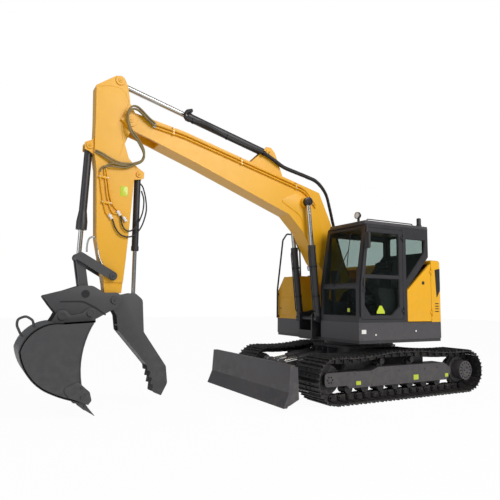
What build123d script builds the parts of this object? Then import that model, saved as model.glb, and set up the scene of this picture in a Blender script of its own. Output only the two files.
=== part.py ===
# Crawler excavator with a short tail, a dozer blade, a quick coupler, a bucket and a hydraulic thumb.
# Millimetres. X runs forward to the blade, Y to the machine's left, Z up.
# While it is modelled, the slew axis stands at X = Y = 0 and the ground is Z = 0. The last lines
# set the finished pieces down with their footprint's centre at the origin.
import math
import os

from build123d import *

# Running clearances
SEAT = 0.3
RUNNING_GAP = 6.0
PIN_GAP = 0.3

# Tracks
TRACK_GAUGE = 1990.0
SHOE_WIDTH = 600.0
IDLER_X = 1400.0
SPROCKET_X = -1560.0
WHEEL_Z = 372.0
GROUSER_TIP = 88.0
SHOE_INNER = 50.0
RAIL_INNER = 44.0
CHAIN_WIDTH = 150.0
SHOE_PITCH = 171.5
PITCH_RADIUS = WHEEL_Z - GROUSER_TIP
RAIL_RADIUS = math.sqrt(PITCH_RADIUS ** 2 - (SHOE_PITCH / 2) ** 2) - RAIL_INNER
TOP_RUN_Z = WHEEL_Z + PITCH_RADIUS
CARRIER_LIFT = 46.0
FRONT_SAG = 35.0
REAR_SAG = 25.0
CARRIER_XS = (305.0, -374.0)
CARRIER_RADIUS = 50.0
ROLLER_XS = (1010.0, 680.0, 350.0, 20.0, -310.0, -640.0, -970.0)
ROLLER_RADIUS = 75.0
ROLLER_WIDTH = 190.0
WHEEL_WIDTH = 120.0
HUB_RADIUS = 165.0
HUB_OUTSTAND = 95.0

# Track side frames
FRAME_WIDTH = 260.0
FRAME_TOP = 520.0
FRAME_BOTTOM = 222.0
FRAME_REAR_X = -1230.0
FRAME_FRONT_X = 1090.0
YOKE_FRONT_X = 1500.0
YOKE_THICK = 30.0
YOKE_HALF_HEIGHT = 105.0

# Lower frame between the tracks
CENTRE_HALF = 560.0
CENTRE_BOTTOM = 380.0
CENTRE_TOP = 800.0
LEG_TOP = 640.0
LEG_BOTTOM = 330.0
LEG_ROOT_WIDTH = 420.0
LEG_END_WIDTH = 520.0
LEG_END_X = 620.0
TOW_EYE_X = 660.0
TOW_EYE_Z = 480.0
TOW_EYE_THICK = 50.0
TOW_EYE_RADIUS = 32.0
SLEW_RING_RADIUS = 520.0
SLEW_RING_BORE = 400.0

# Dozer blade
BLADE_WIDTH = 2600.0
BLADE_TOP = 653.0
BLADE_EDGE_Z = 65.0
BLADE_EDGE_X = 2352.0
BLADE_CREASE_Z = 278.0
BLADE_PIVOT_X = 950.0
BLADE_PIVOT_Z = 450.0
BLADE_ARM_Y = 430.0
BLADE_ARM_WIDTH = 110.0
BLADE_BASE_X = 700.0
BLADE_BASE_Z = 700.0
BLADE_EYE_X = 1700.0
BLADE_EYE_Z = 560.0
BLADE_CYLINDER_Y = 170.0
BLADE_BARREL = 52.0
BLADE_PIN = 30.0
BLADE_CYLINDER_PIN = 25.0
LUG = 28.0

# Upper structure
HOUSE_HALF = 1237.0
TAIL_RADIUS = 1550.0
SKIRT_BOTTOM = 955.0
SKIRT_TOP = 1235.0
SKIRT_WALL = 30.0
CAB_FRONT = 914.0
BOX_FRONT = 870.0
COUNTERWEIGHT_X = -1000.0
COUNTERWEIGHT_TOP = 1800.0
HOOD_FRONT = -720.0
HOOD_TOP = 2305.0
HOOD_THICK = 70.0
PANEL = 40.0
FLOOR_BOTTOM = 905.0
FLOOR_THICK = SKIRT_BOTTOM - SEAT - FLOOR_BOTTOM
FLOOR_INSET = 10.0
CHEEK_INNER = 176.0
CHEEK_THICK = 32.0
CHEEK_REAR_X = -480.0
BULKHEAD_X = CHEEK_REAR_X - PANEL - RUNNING_GAP
BAY_HALF = 340.0
BOX_INNER = 453.0
ENGINE_HEIGHT = 900.0
NOSE_X = 1000.0

# Hinges of the side doors
HINGE_Y = HOUSE_HALF + 12.0
HINGE_RADIUS = 9.0
HINGE_PIN = 5.0
HINGE_HALF = 36.0
HINGE_MIDDLE = 38.0
HINGE_REACH = 50.0
CAB_HINGE_X = -62.0
LEFT_HINGE_X = HOOD_FRONT - 2.0
RIGHT_HINGE_X = -612.0
CAB_HINGES = (1420.0, 2640.0)
HOOD_AXIS_X = HOOD_FRONT + 14.0
HOOD_AXIS_Z = HOOD_TOP - HOOD_THICK + 18.0
HOOD_HINGES = (-350.0, 150.0)
LEFT_HINGES = (1400.0, 2100.0)
RIGHT_HINGES = (1400.0, 1640.0)

# Cab
CAB_INNER = 250.0
CAB_WALL = 50.0
CAB_BOTTOM = SKIRT_TOP + SEAT
CAB_KNEE_Z = 1830.0
CAB_ROOF_FRONT = 745.0
CAB_TOP = 2830.0
ROOF_TOP = 2890.0
CAB_REAR = -660.0
CAB_REAR_Z = 2350.0
CAB_BACK_X = -139.0
CAB_BACK_Z = 1790.0
GLASS = 6.0

# Digging arms: the boom's middle plane, and half widths of each layer beside it
DIG_OFFSET = -100.0
BOOM_HALF = 170.0
ARM_HALF = 125.0
FORK_INNER = 132.0
ARM_TIP_HALF = 106.0
ARM_TIP_TOP = 1804.0
THUMB_INNER = 112.0
THUMB_PLATE = 30.0
COUPLER_INNER = 149.0
COUPLER_PLATE = 30.0
H_LINK_INNER = 60.0
SIDE_LINK_INNER = 152.0
SIDE_LINK_THICK = 32.0
BUCKET_HALF = 450.0
BUCKET_WALL = 24.0

# Pins of the linkage, as X and Z
BOOM_FOOT = (148.0, 1651.0)
BOOM_TIP = (4311.0, 4247.0)
BOOM_BASE_PIN = (919.0, 1266.0)
BOOM_EYE_PIN = (1131.0, 3324.0)
ARM_BASE_PIN = (1841.0, 4155.0)
ARM_EYE_PIN = (4476.0, 4849.0)
BUCKET_BASE_PIN = (4872.0, 3791.0)
LINK_TOP_PIN = (4943.0, 2153.0)
SIDE_LINK_PIN = (4487.0, 1894.0)
BUCKET_PIN = (4446.0, 1550.0)
COUPLER_LINK_PIN = (4857.0, 1631.0)
COUPLER_REAR_PIN = (4778.0, 1366.0)
COUPLER_FRONT_PIN = (5160.0, 1326.0)
THUMB_BASE_PIN = (4129.0, 3456.0)
THUMB_EYE_PIN = (4135.0, 1584.0)

# Cylinders: outer radius of the barrels, radius of the rods and half width of the eyes
BOOM_CYLINDER_Y = 275.0
BOOM_EYE_HALF = 42.0
BOOM_GLAND = 1290.0
BOOM_ROD = 1370.0
ARM_SLOT_HALF = 52.0
ARM_BARREL = 68.0
BUCKET_BARREL = 56.0
THUMB_BARREL = 50.0
THUMB_EYE_HALF = 44.0


def side_plane(y):
    """Plane across the machine at one Y, with X to the right and Z up."""
    return Plane.XZ.offset(-y)


def side_plate(points, low_y, high_y, mode=Mode.ADD):
    """Flat piece with an outline in X and Z, between two Y values."""
    with BuildSketch(side_plane(high_y)) as sheet:
        with BuildLine():
            Polyline(*points, close=True)
        make_face()
    extrude(sheet.sketch, amount=high_y - low_y, mode=mode)


def side_sheet(sketch, low_y, high_y, mode=Mode.ADD):
    """Extrudes a face drawn on Plane.XZ between two Y values."""
    extrude(side_plane(high_y).location * (Plane.XZ.location.inverse() * sketch),
            amount=high_y - low_y, mode=mode)


def twin_plates(points, inner, outer, mode=Mode.ADD):
    """Two like plates, one on each side of the machine's middle plane."""
    side_plate(points, inner, outer, mode)
    side_plate(points, -outer, -inner, mode)


def cross_pin(pin, radius, low_y, high_y, mode=Mode.ADD):
    """Round bar, or bore, along Y at one pin centre."""
    with BuildSketch(side_plane(high_y)) as disc:
        with Locations(pin):
            Circle(radius)
    extrude(disc.sketch, amount=high_y - low_y, mode=mode)


def twin_bosses(pin, radius, inner, outer, mode=Mode.ADD):
    """Two like round bosses, one on each side of the machine's middle plane."""
    cross_pin(pin, radius, inner, outer, mode)
    cross_pin(pin, radius, -outer, -inner, mode)


def rounded_face(points, radius):
    """Face on Plane.XZ with its corners rounded to one radius."""
    with BuildSketch(Plane.XZ) as sheet:
        with BuildLine():
            Polyline(*points, close=True)
        make_face()
        fillet(sheet.vertices(), radius)
    return sheet.sketch


def strut(start, end, y, first, last, radius, mode=Mode.ADD):
    """Round bar at one Y on the line from start to end, between two distances along it."""
    dx, dz = end[0] - start[0], end[1] - start[1]
    length = math.hypot(dx, dz)
    along = Plane(origin=(start[0], y, start[1]), x_dir=(0, 1, 0), z_dir=(dx / length, 0, dz / length))
    with BuildSketch(along.offset(first)) as disc:
        Circle(radius)
    extrude(disc.sketch, amount=last - first, mode=mode)


def distance(start, end):
    return math.hypot(end[0] - start[0], end[1] - start[1])


def hinge_fixed(axis_x, side, heights):
    """Fixed knuckles of a rear-hung side door, above and below the door's own, with the pin."""
    for z in heights:
        with Locations((axis_x, side * HINGE_Y, z)):
            Cylinder(HINGE_PIN, 2 * HINGE_REACH)
        with Locations((axis_x, side * HINGE_Y, z - HINGE_MIDDLE), (axis_x, side * HINGE_Y, z + HINGE_MIDDLE)):
            Cylinder(HINGE_RADIUS, HINGE_HALF)
        with Locations((axis_x - 20, side * (HOUSE_HALF + 5), z - HINGE_MIDDLE),
                       (axis_x - 20, side * (HOUSE_HALF + 5), z + HINGE_MIDDLE)):
            Box(40, 12, HINGE_HALF)


def hinge_moving(axis_x, side, heights):
    """The door's knuckle between the fixed ones, with the strap to the leaf."""
    height = 2 * (HINGE_MIDDLE - HINGE_HALF / 2 - SEAT)
    for z in heights:
        with Locations((axis_x, side * HINGE_Y, z)):
            Cylinder(HINGE_RADIUS, height)
        with Locations((axis_x + 22, side * (HOUSE_HALF + 8), z)):
            Box(44, 8, height)
        with Locations((axis_x + 31, side * (HOUSE_HALF + 4), z)):
            Box(26, 12, height)
        with Locations((axis_x, side * HINGE_Y, z)):
            Cylinder(HINGE_PIN + PIN_GAP, height, mode=Mode.SUBTRACT)


pieces = []


def finish(builder, label, across=0.0):
    """Names a finished piece, sets it across the machine and keeps it for export."""
    builder.part.label = label
    piece = builder.part.moved(Location((0, across, 0)))
    piece.label = label
    pieces.append(piece)


# Track chain: the pitch line runs round idler, carrier rollers and sprocket, with sag between them
def pitch_line():
    rear_run = (CARRIER_XS[1], TOP_RUN_Z + CARRIER_LIFT)
    front_run = (CARRIER_XS[0], TOP_RUN_Z + CARRIER_LIFT)
    front_middle = ((IDLER_X + CARRIER_XS[0]) / 2, TOP_RUN_Z + CARRIER_LIFT / 2 - FRONT_SAG)
    rear_middle = ((SPROCKET_X + CARRIER_XS[1]) / 2, TOP_RUN_Z + CARRIER_LIFT / 2 - REAR_SAG)
    with BuildLine(Plane.XZ) as path:
        Line((SPROCKET_X, GROUSER_TIP), (IDLER_X, GROUSER_TIP))
        ThreePointArc((IDLER_X, GROUSER_TIP), (IDLER_X + PITCH_RADIUS, WHEEL_Z), (IDLER_X, TOP_RUN_Z))
        ThreePointArc((IDLER_X, TOP_RUN_Z), front_middle, front_run)
        Line(front_run, rear_run)
        ThreePointArc(rear_run, rear_middle, (SPROCKET_X, TOP_RUN_Z))
        ThreePointArc((SPROCKET_X, TOP_RUN_Z), (SPROCKET_X - PITCH_RADIUS, WHEEL_Z), (SPROCKET_X, GROUSER_TIP))
    return path.wire()


def loop_points(profile, pins):
    """Repeats a row of (share of pitch, height out of the chain) on every link of the chain."""
    points = []
    for pin, following in zip(pins, pins[1:] + pins[:1]):
        step = following - pin
        out = Vector(step.Z, 0, -step.X).normalized()
        for share, height in profile:
            spot = pin + step * share + out * height
            points.append((spot.X, spot.Z))
    return points


def loop_outline(height, pins):
    """Closed outline that runs beside the chain's links at one height, mitred at the pins."""
    points = []
    for before, pin, following in zip(pins[-1:] + pins[:-1], pins, pins[1:] + pins[:1]):
        outs = [Vector(step.Z, 0, -step.X).normalized() for step in (pin - before, following - pin)]
        middle = (outs[0] + outs[1]).normalized()
        spot = pin + middle * (height / middle.dot(outs[0]))
        points.append((spot.X, spot.Z))
    return points


track_line = pitch_line()
shoe_count = round(track_line.length / SHOE_PITCH)
chain_pins = [track_line @ (i / shoe_count) for i in range(shoe_count)]
shoe_profile = ((0.04, GROUSER_TIP), (0.96, GROUSER_TIP))
track_middle = TRACK_GAUGE / 2
shoe_inner_y, shoe_outer_y = track_middle - SHOE_WIDTH / 2, track_middle + SHOE_WIDTH / 2
chain_inner_y, chain_outer_y = track_middle - CHAIN_WIDTH / 2, track_middle + CHAIN_WIDTH / 2

with BuildPart() as track_left:
    side_plate(loop_points(shoe_profile, chain_pins), shoe_inner_y, shoe_outer_y)
    side_plate(loop_outline(SHOE_INNER, chain_pins), shoe_inner_y, shoe_outer_y, Mode.SUBTRACT)
    side_plate(loop_outline(SHOE_INNER + 2, chain_pins), chain_inner_y, chain_outer_y)
    side_plate(loop_outline(-RAIL_INNER, chain_pins), chain_inner_y, chain_outer_y, Mode.SUBTRACT)
finish(track_left, "track_left")

# Side frame with the idler's yoke and its outer guard plate
inner_face = track_middle - FRAME_WIDTH / 2
outer_face = track_middle + FRAME_WIDTH / 2
rail_z = GROUSER_TIP + RAIL_INNER
carrier_z = TOP_RUN_Z + CARRIER_LIFT - RAIL_INNER - CARRIER_RADIUS - 4
frame_outline = (
    (FRAME_REAR_X - 40, 330), (FRAME_REAR_X - 40, 430), (FRAME_REAR_X + 120, FRAME_TOP),
    (420, FRAME_TOP), (560, 470), (FRAME_FRONT_X, 470), (FRAME_FRONT_X, 280),
    (FRAME_FRONT_X - 60, FRAME_BOTTOM), (FRAME_REAR_X + 60, FRAME_BOTTOM),
)
yoke_outline = (
    (FRAME_FRONT_X - 250, WHEEL_Z - YOKE_HALF_HEIGHT), (YOKE_FRONT_X, WHEEL_Z - YOKE_HALF_HEIGHT),
    (YOKE_FRONT_X, WHEEL_Z + YOKE_HALF_HEIGHT), (FRAME_FRONT_X - 250, WHEEL_Z + YOKE_HALF_HEIGHT),
)
with BuildPart() as track_frame_left:
    side_plate(frame_outline, inner_face, outer_face)
    for low in (inner_face, outer_face - YOKE_THICK):
        side_sheet(rounded_face(yoke_outline, 60), low, low + YOKE_THICK)
    with Locations(*[(x, track_middle, 222) for x in ROLLER_XS]):
        Box(2 * ROLLER_RADIUS + 30, ROLLER_WIDTH + 20, 140, mode=Mode.SUBTRACT)
    for x in CARRIER_XS:
        side_plate(((x - 60, FRAME_TOP - 5), (x - 30, carrier_z + 25), (x + 30, carrier_z + 25), (x + 60, FRAME_TOP - 5)),
                   track_middle - 30, track_middle + 30)
        cross_pin((x, carrier_z), 20 + SEAT, track_middle - 30, track_middle + 30, Mode.SUBTRACT)
finish(track_frame_left, "track_frame_left")

with BuildPart() as rollers_left:
    for x in ROLLER_XS:
        cross_pin((x, rail_z + ROLLER_RADIUS + SEAT), ROLLER_RADIUS,
                  track_middle - ROLLER_WIDTH / 2, track_middle + ROLLER_WIDTH / 2)
    for x in CARRIER_XS:
        cross_pin((x, carrier_z), CARRIER_RADIUS, track_middle + 35, track_middle + 95)
        cross_pin((x, carrier_z), CARRIER_RADIUS, track_middle - 95, track_middle - 35)
        cross_pin((x, carrier_z), 20, track_middle - 35, track_middle + 35)
finish(rollers_left, "rollers_left")

with BuildPart() as idler_left:
    cross_pin((IDLER_X, WHEEL_Z), RAIL_RADIUS - SEAT, track_middle - WHEEL_WIDTH / 2, track_middle + WHEEL_WIDTH / 2)
    cross_pin((IDLER_X, WHEEL_Z), 70, inner_face + YOKE_THICK + 1, outer_face - YOKE_THICK - 1)
finish(idler_left, "idler_left")

with BuildPart() as final_drive_left:
    cross_pin((SPROCKET_X, WHEEL_Z), RAIL_RADIUS - SEAT, track_middle - 45, track_middle + 45)
    cross_pin((SPROCKET_X, WHEEL_Z), HUB_RADIUS, track_middle + 45, outer_face + HUB_OUTSTAND)
    cross_pin((SPROCKET_X, WHEEL_Z), 190, inner_face - 20, track_middle - 45)
finish(final_drive_left, "final_drive_left")

# Right-hand running gear is the left one mirrored
for source in (track_left, track_frame_left, rollers_left, idler_left, final_drive_left):
    with BuildPart() as twin:
        mirror(source.part, about=Plane.XZ)
    finish(twin, source.part.label.replace("left", "right"))

# Lower frame: centre box, four splayed legs and the blade's brackets
blade_pivot = (BLADE_PIVOT_X, BLADE_PIVOT_Z)
blade_base, blade_eye = (BLADE_BASE_X, BLADE_BASE_Z), (BLADE_EYE_X, BLADE_EYE_Z)
blade_reach = distance(blade_base, blade_eye)
blade_arm_inner = BLADE_ARM_Y - BLADE_ARM_WIDTH / 2
blade_arm_outer = BLADE_ARM_Y + BLADE_ARM_WIDTH / 2
blade_lug_inner = BLADE_CYLINDER_Y - BLADE_BARREL - RUNNING_GAP
blade_lug_outer = BLADE_CYLINDER_Y + BLADE_BARREL + RUNNING_GAP
blade_lug = ((500, 420), (900, 380), (1030, 400), (1030, 500), (900, 560), (500, 600))
blade_cylinder_lug = ((500, 520), (700, 560), (760, 660), (760, 760), (500, 760))
with BuildPart() as lower_frame:
    with BuildSketch(Plane.XY.offset(CENTRE_BOTTOM)):
        RectangleRounded(2 * CENTRE_HALF, 2 * CENTRE_HALF, 160)
    extrude(amount=CENTRE_TOP - CENTRE_BOTTOM)
    for end_x in (-LEG_END_X, LEG_END_X):
        for side in (-1, 1):
            root_x = math.copysign(CENTRE_HALF - LEG_ROOT_WIDTH / 2, end_x)
            with BuildSketch(Plane.XY.offset(LEG_BOTTOM)) as leg:
                with BuildLine():
                    Polyline(
                        (root_x - LEG_ROOT_WIDTH / 2, side * 300), (root_x + LEG_ROOT_WIDTH / 2, side * 300),
                        (end_x + LEG_END_WIDTH / 2, side * inner_face), (end_x - LEG_END_WIDTH / 2, side * inner_face),
                        close=True)
                make_face()
            extrude(leg.sketch, amount=LEG_TOP - LEG_BOTTOM)
    twin_plates(blade_lug, blade_arm_inner - RUNNING_GAP - LUG, blade_arm_inner - RUNNING_GAP)
    twin_plates(blade_lug, blade_arm_outer + RUNNING_GAP, blade_arm_outer + RUNNING_GAP + LUG)
    twin_bosses(blade_pivot, BLADE_PIN, blade_arm_inner - RUNNING_GAP - LUG, blade_arm_outer + RUNNING_GAP + LUG)
    twin_plates(blade_cylinder_lug, blade_lug_inner - LUG, blade_lug_inner)
    twin_plates(blade_cylinder_lug, blade_lug_outer, blade_lug_outer + LUG)
    twin_bosses(blade_base, BLADE_CYLINDER_PIN, blade_lug_inner - LUG, blade_lug_outer + LUG)
finish(lower_frame, "lower_frame")

with BuildPart() as tow_eye:
    with BuildSketch(Plane.XY.offset(TOW_EYE_Z - TOW_EYE_THICK / 2)) as tongue:
        with BuildLine():
            Polyline((-CENTRE_HALF - SEAT, -110), (-CENTRE_HALF - SEAT, 110), (-TOW_EYE_X, 70), (-TOW_EYE_X, -70), close=True)
        make_face()
        with Locations((-TOW_EYE_X, 0)):
            Circle(70)
            Circle(TOW_EYE_RADIUS, mode=Mode.SUBTRACT)
    extrude(amount=TOW_EYE_THICK)
finish(tow_eye, "tow_eye")

with BuildPart() as slew_ring:
    with BuildSketch(Plane.XY.offset(CENTRE_TOP)):
        Circle(SLEW_RING_RADIUS)
        Circle(SLEW_RING_BORE, mode=Mode.SUBTRACT)
    extrude(amount=FLOOR_BOTTOM - CENTRE_TOP - SEAT)
finish(slew_ring, "slew_ring")

# Dozer blade with its push arms
with BuildPart() as blade:
    side_plate(
        ((2235, BLADE_TOP), (2262, BLADE_CREASE_Z), (BLADE_EDGE_X, BLADE_EDGE_Z), (2290, BLADE_EDGE_Z),
         (2180, 250), (2140, 400), (2160, BLADE_TOP)), -BLADE_WIDTH / 2, BLADE_WIDTH / 2)
    for end in (-BLADE_WIDTH / 2, BLADE_WIDTH / 2 - 25):
        side_plate(((2235, BLADE_TOP), (2262, BLADE_CREASE_Z), (BLADE_EDGE_X, BLADE_EDGE_Z), (2240, 100),
                    (2090, 170), (2110, 620)), end, end + 25)
    for side in (-1, 1):
        low_y = side * BLADE_ARM_Y - BLADE_ARM_WIDTH / 2
        side_plate(
            ((BLADE_PIVOT_X, 515), (1700, 470), (2160, 540), (2160, 200), (1700, 330), (BLADE_PIVOT_X, 385)),
            low_y, low_y + BLADE_ARM_WIDTH)
        cross_pin((BLADE_PIVOT_X, BLADE_PIVOT_Z), 65, low_y, low_y + BLADE_ARM_WIDTH)
        cross_pin((BLADE_PIVOT_X, BLADE_PIVOT_Z), 30 + PIN_GAP, low_y, low_y + BLADE_ARM_WIDTH, Mode.SUBTRACT)
    side_plate(((1640, 440), (2160, 470), (2160, 300), (1640, 380)), -BLADE_ARM_Y, BLADE_ARM_Y)
    blade_eye_lug = ((1640, 400), (1640, 560), (1680, 620), (1740, 620), (1900, 400))
    twin_plates(blade_eye_lug, blade_lug_inner - LUG, blade_lug_inner)
    twin_plates(blade_eye_lug, blade_lug_outer, blade_lug_outer + LUG)
finish(blade, "blade")

blade_eye_half = BLADE_BARREL + RUNNING_GAP - SEAT
with BuildPart() as blade_cylinder_barrels:
    for side in (-1, 1):
        y = side * BLADE_CYLINDER_Y
        strut(blade_base, blade_eye, y, 40, 660, BLADE_BARREL)
        cross_pin(blade_base, BLADE_BARREL, y - blade_eye_half, y + blade_eye_half)
        strut(blade_base, blade_eye, y, 110, 660, 30 + PIN_GAP, Mode.SUBTRACT)
        cross_pin(blade_base, BLADE_CYLINDER_PIN + PIN_GAP, y - blade_eye_half, y + blade_eye_half, Mode.SUBTRACT)
finish(blade_cylinder_barrels, "blade_cylinder_barrels")

with BuildPart() as blade_cylinder_rods:
    for side in (-1, 1):
        y = side * BLADE_CYLINDER_Y
        strut(blade_base, blade_eye, y, 330, blade_reach - 30, 30)
        cross_pin(blade_eye, 45, y - blade_eye_half, y + blade_eye_half)
finish(blade_cylinder_rods, "blade_cylinder_rods")


# Upper structure
def tail_x(y, radius):
    return -math.sqrt(radius * radius - y * y)


def house_outline(inset, front_left, front_right, back=None):
    """Plan of the upper structure: straight sides and a tail arc about the slew axis."""
    half = HOUSE_HALF - inset
    radius = TAIL_RADIUS - inset
    with BuildSketch() as plan:
        with BuildLine():
            start = (tail_x(half, radius), half)
            end = (tail_x(half, radius), -half)
            ThreePointArc(start, (-radius, 0), end)
            steps = [(front_right, -half), (front_left, half)]
            if front_right != front_left:
                steps[1:1] = [(front_right, 0), (front_left, 0)]
            Polyline(end, *steps, start)
        make_face()
        if back is not None:
            with Locations((back - 2000, 0)):
                Rectangle(4000, 4000, mode=Mode.SUBTRACT)
    return plan.sketch


with BuildPart() as boom_mount:
    twin_plates(
        ((CHEEK_REAR_X, FLOOR_BOTTOM + 10), (NOSE_X, FLOOR_BOTTOM + 10), (NOSE_X, 1330), (940, 1380), (830, 1380),
         (440, 1480), (260, 1740), (120, 1800), (10, 1740), (CHEEK_REAR_X, 1300)), CHEEK_INNER, CHEEK_INNER + CHEEK_THICK)
    side_plate(((640, FLOOR_BOTTOM), (NOSE_X, FLOOR_BOTTOM), (NOSE_X, 1060), (640, 960)), -CHEEK_INNER, CHEEK_INNER)
    cross_pin(BOOM_FOOT, 55, -CHEEK_INNER - CHEEK_THICK, CHEEK_INNER + CHEEK_THICK)
    cross_pin(BOOM_BASE_PIN, 40, -BOOM_CYLINDER_Y - 40, BOOM_CYLINDER_Y + 40)
with BuildPart() as revolving_frame:
    with BuildSketch(Plane.XY.offset(FLOOR_BOTTOM)) as floor:
        add(house_outline(FLOOR_INSET, CAB_FRONT - FLOOR_INSET, BOX_FRONT - FLOOR_INSET))
    extrude(amount=FLOOR_THICK)
    with Locations((0, DIG_OFFSET, 0)):
        add(boom_mount.part)
finish(revolving_frame, "revolving_frame")

with BuildPart() as skirt:
    with BuildSketch(Plane.XY.offset(SKIRT_BOTTOM)) as ring:
        add(house_outline(0, CAB_FRONT, BOX_FRONT, COUNTERWEIGHT_X + 5))
        add(house_outline(SKIRT_WALL, CAB_FRONT - SKIRT_WALL, BOX_FRONT - SKIRT_WALL), mode=Mode.SUBTRACT)
    extrude(ring.sketch, amount=SKIRT_TOP - SKIRT_BOTTOM)
    with Locations((CAB_FRONT - 100, DIG_OFFSET, (SKIRT_BOTTOM + SKIRT_TOP) / 2)):
        Box(600, 2 * (CAB_INNER - DIG_OFFSET), SKIRT_TOP, mode=Mode.SUBTRACT)
finish(skirt, "skirt")

with BuildPart() as counterweight:
    with BuildSketch(Plane.XY.offset(SKIRT_BOTTOM)) as tail:
        add(house_outline(0, CAB_FRONT, BOX_FRONT))
        with Locations((COUNTERWEIGHT_X + 2000, 0)):
            Rectangle(4000, 4000, mode=Mode.SUBTRACT)
    extrude(tail.sketch, amount=COUNTERWEIGHT_TOP - SKIRT_BOTTOM)
finish(counterweight, "counterweight")

hood_axis = (HOOD_AXIS_X, HOOD_AXIS_Z)
with BuildPart() as engine_housing:
    with BuildSketch(Plane.XY.offset(SKIRT_TOP + SEAT)) as walls:
        add(house_outline(0, HOOD_FRONT, HOOD_FRONT, COUNTERWEIGHT_X))
        add(house_outline(PANEL, HOOD_FRONT, HOOD_FRONT), mode=Mode.SUBTRACT)
    extrude(walls.sketch, amount=HOOD_TOP - HOOD_THICK - SKIRT_TOP - 2 * SEAT)
    with BuildSketch(Plane.XY.offset(COUNTERWEIGHT_TOP + SEAT)) as upper_walls:
        add(house_outline(0, HOOD_FRONT, HOOD_FRONT))
        add(house_outline(PANEL, HOOD_FRONT, HOOD_FRONT), mode=Mode.SUBTRACT)
    extrude(upper_walls.sketch, amount=HOOD_TOP - HOOD_THICK - COUNTERWEIGHT_TOP - 2 * SEAT)
    bay_top = HOOD_TOP - HOOD_THICK - SEAT
    with Locations(((HOOD_FRONT + BULKHEAD_X) / 2, DIG_OFFSET, (SKIRT_TOP + SEAT + bay_top) / 2)):
        Box(BULKHEAD_X - HOOD_FRONT + 2 * PANEL, 2 * BAY_HALF, bay_top - SKIRT_TOP - SEAT)
    with Locations(((HOOD_FRONT + BULKHEAD_X) / 2 - PANEL, DIG_OFFSET, (SKIRT_TOP + bay_top) / 2 - PANEL)):
        Box(BULKHEAD_X - HOOD_FRONT + 2 * PANEL, 2 * BAY_HALF - 2 * PANEL, bay_top - SKIRT_TOP, mode=Mode.SUBTRACT)
    hinge_fixed(LEFT_HINGE_X, 1, LEFT_HINGES)
    for y in HOOD_HINGES:
        for edge in (-HINGE_MIDDLE, HINGE_MIDDLE):
            cross_pin(hood_axis, HINGE_RADIUS, y + edge - HINGE_HALF / 2, y + edge + HINGE_HALF / 2)
            with Locations((HOOD_AXIS_X, y + edge, (bay_top + HOOD_AXIS_Z) / 2)):
                Box(2 * HINGE_RADIUS - 2, HINGE_HALF, HOOD_AXIS_Z - bay_top)
        cross_pin(hood_axis, HINGE_PIN, y - HINGE_REACH, y + HINGE_REACH)
finish(engine_housing, "engine_housing")

with BuildPart() as engine_hood:
    with BuildSketch(Plane.XY.offset(HOOD_TOP - HOOD_THICK)) as lid:
        add(house_outline(0, HOOD_FRONT, HOOD_FRONT))
    extrude(lid.sketch, amount=HOOD_THICK)
    fillet(engine_hood.faces().sort_by(Axis.Z)[-1].edges(), 45)
    knuckle_half = HINGE_MIDDLE - HINGE_HALF / 2 - SEAT
    for y in HOOD_HINGES:
        cross_pin(hood_axis, HINGE_RADIUS, y - knuckle_half, y + knuckle_half)
        side_plate(((HOOD_FRONT - 2, HOOD_AXIS_Z - 4), (HOOD_AXIS_X, HOOD_AXIS_Z - 4), (HOOD_AXIS_X, HOOD_AXIS_Z + 4),
                    (HOOD_FRONT - 2, HOOD_AXIS_Z + 4)), y - knuckle_half, y + knuckle_half)
        cross_pin(hood_axis, HINGE_PIN + PIN_GAP, y - knuckle_half, y + knuckle_half, Mode.SUBTRACT)
finish(engine_hood, "engine_hood")

with BuildPart() as engine_block:
    with Locations(((COUNTERWEIGHT_X + BULKHEAD_X) / 2, DIG_OFFSET, FLOOR_BOTTOM + FLOOR_THICK + SEAT + ENGINE_HEIGHT / 2)):
        Box(BULKHEAD_X - COUNTERWEIGHT_X - 40, 2 * BAY_HALF - 3 * PANEL, ENGINE_HEIGHT)
finish(engine_block, "engine_block")

# Left service door below the cab's rear quarter window
with BuildPart() as service_door_left:
    side_sheet(rounded_face(
        ((CAB_BACK_X - 8, SKIRT_TOP + 12), (CAB_BACK_X - 8, CAB_BACK_Z - 26), (-690, HOOD_TOP - HOOD_THICK - 8),
         (HOOD_FRONT + 8, HOOD_TOP - HOOD_THICK - 8), (HOOD_FRONT + 8, SKIRT_TOP + 12)), 12),
        HOUSE_HALF - PANEL, HOUSE_HALF)
    hinge_moving(LEFT_HINGE_X, 1, LEFT_HINGES)
finish(service_door_left, "service_door_left")

# Right-hand tank housing, its section chamfered along both top corners
with BuildPart() as tank_housing:
    with BuildSketch(Plane.YZ.offset(HOOD_FRONT + 5)) as section:
        with BuildLine():
            Polyline((-HOUSE_HALF, SKIRT_TOP + SEAT), (-HOUSE_HALF, 1750), (-1000, 2040),
                     (-BOX_INNER, 2040), (-BOX_INNER, SKIRT_TOP + SEAT), close=True)
        make_face()
    extrude(section.sketch, amount=BOX_FRONT - HOOD_FRONT - 5)
    with Locations((-300, -HOUSE_HALF, 1520)):
        Box(620, 2 * PANEL + 6, 400, mode=Mode.SUBTRACT)
    hinge_fixed(RIGHT_HINGE_X, -1, RIGHT_HINGES)
finish(tank_housing, "tank_housing")

with BuildPart() as service_door_right:
    with Locations((-300, -HOUSE_HALF + PANEL / 2, 1520)):
        Box(610, PANEL, 390)
    hinge_moving(RIGHT_HINGE_X, -1, RIGHT_HINGES)
finish(service_door_right, "service_door_right")

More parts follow.
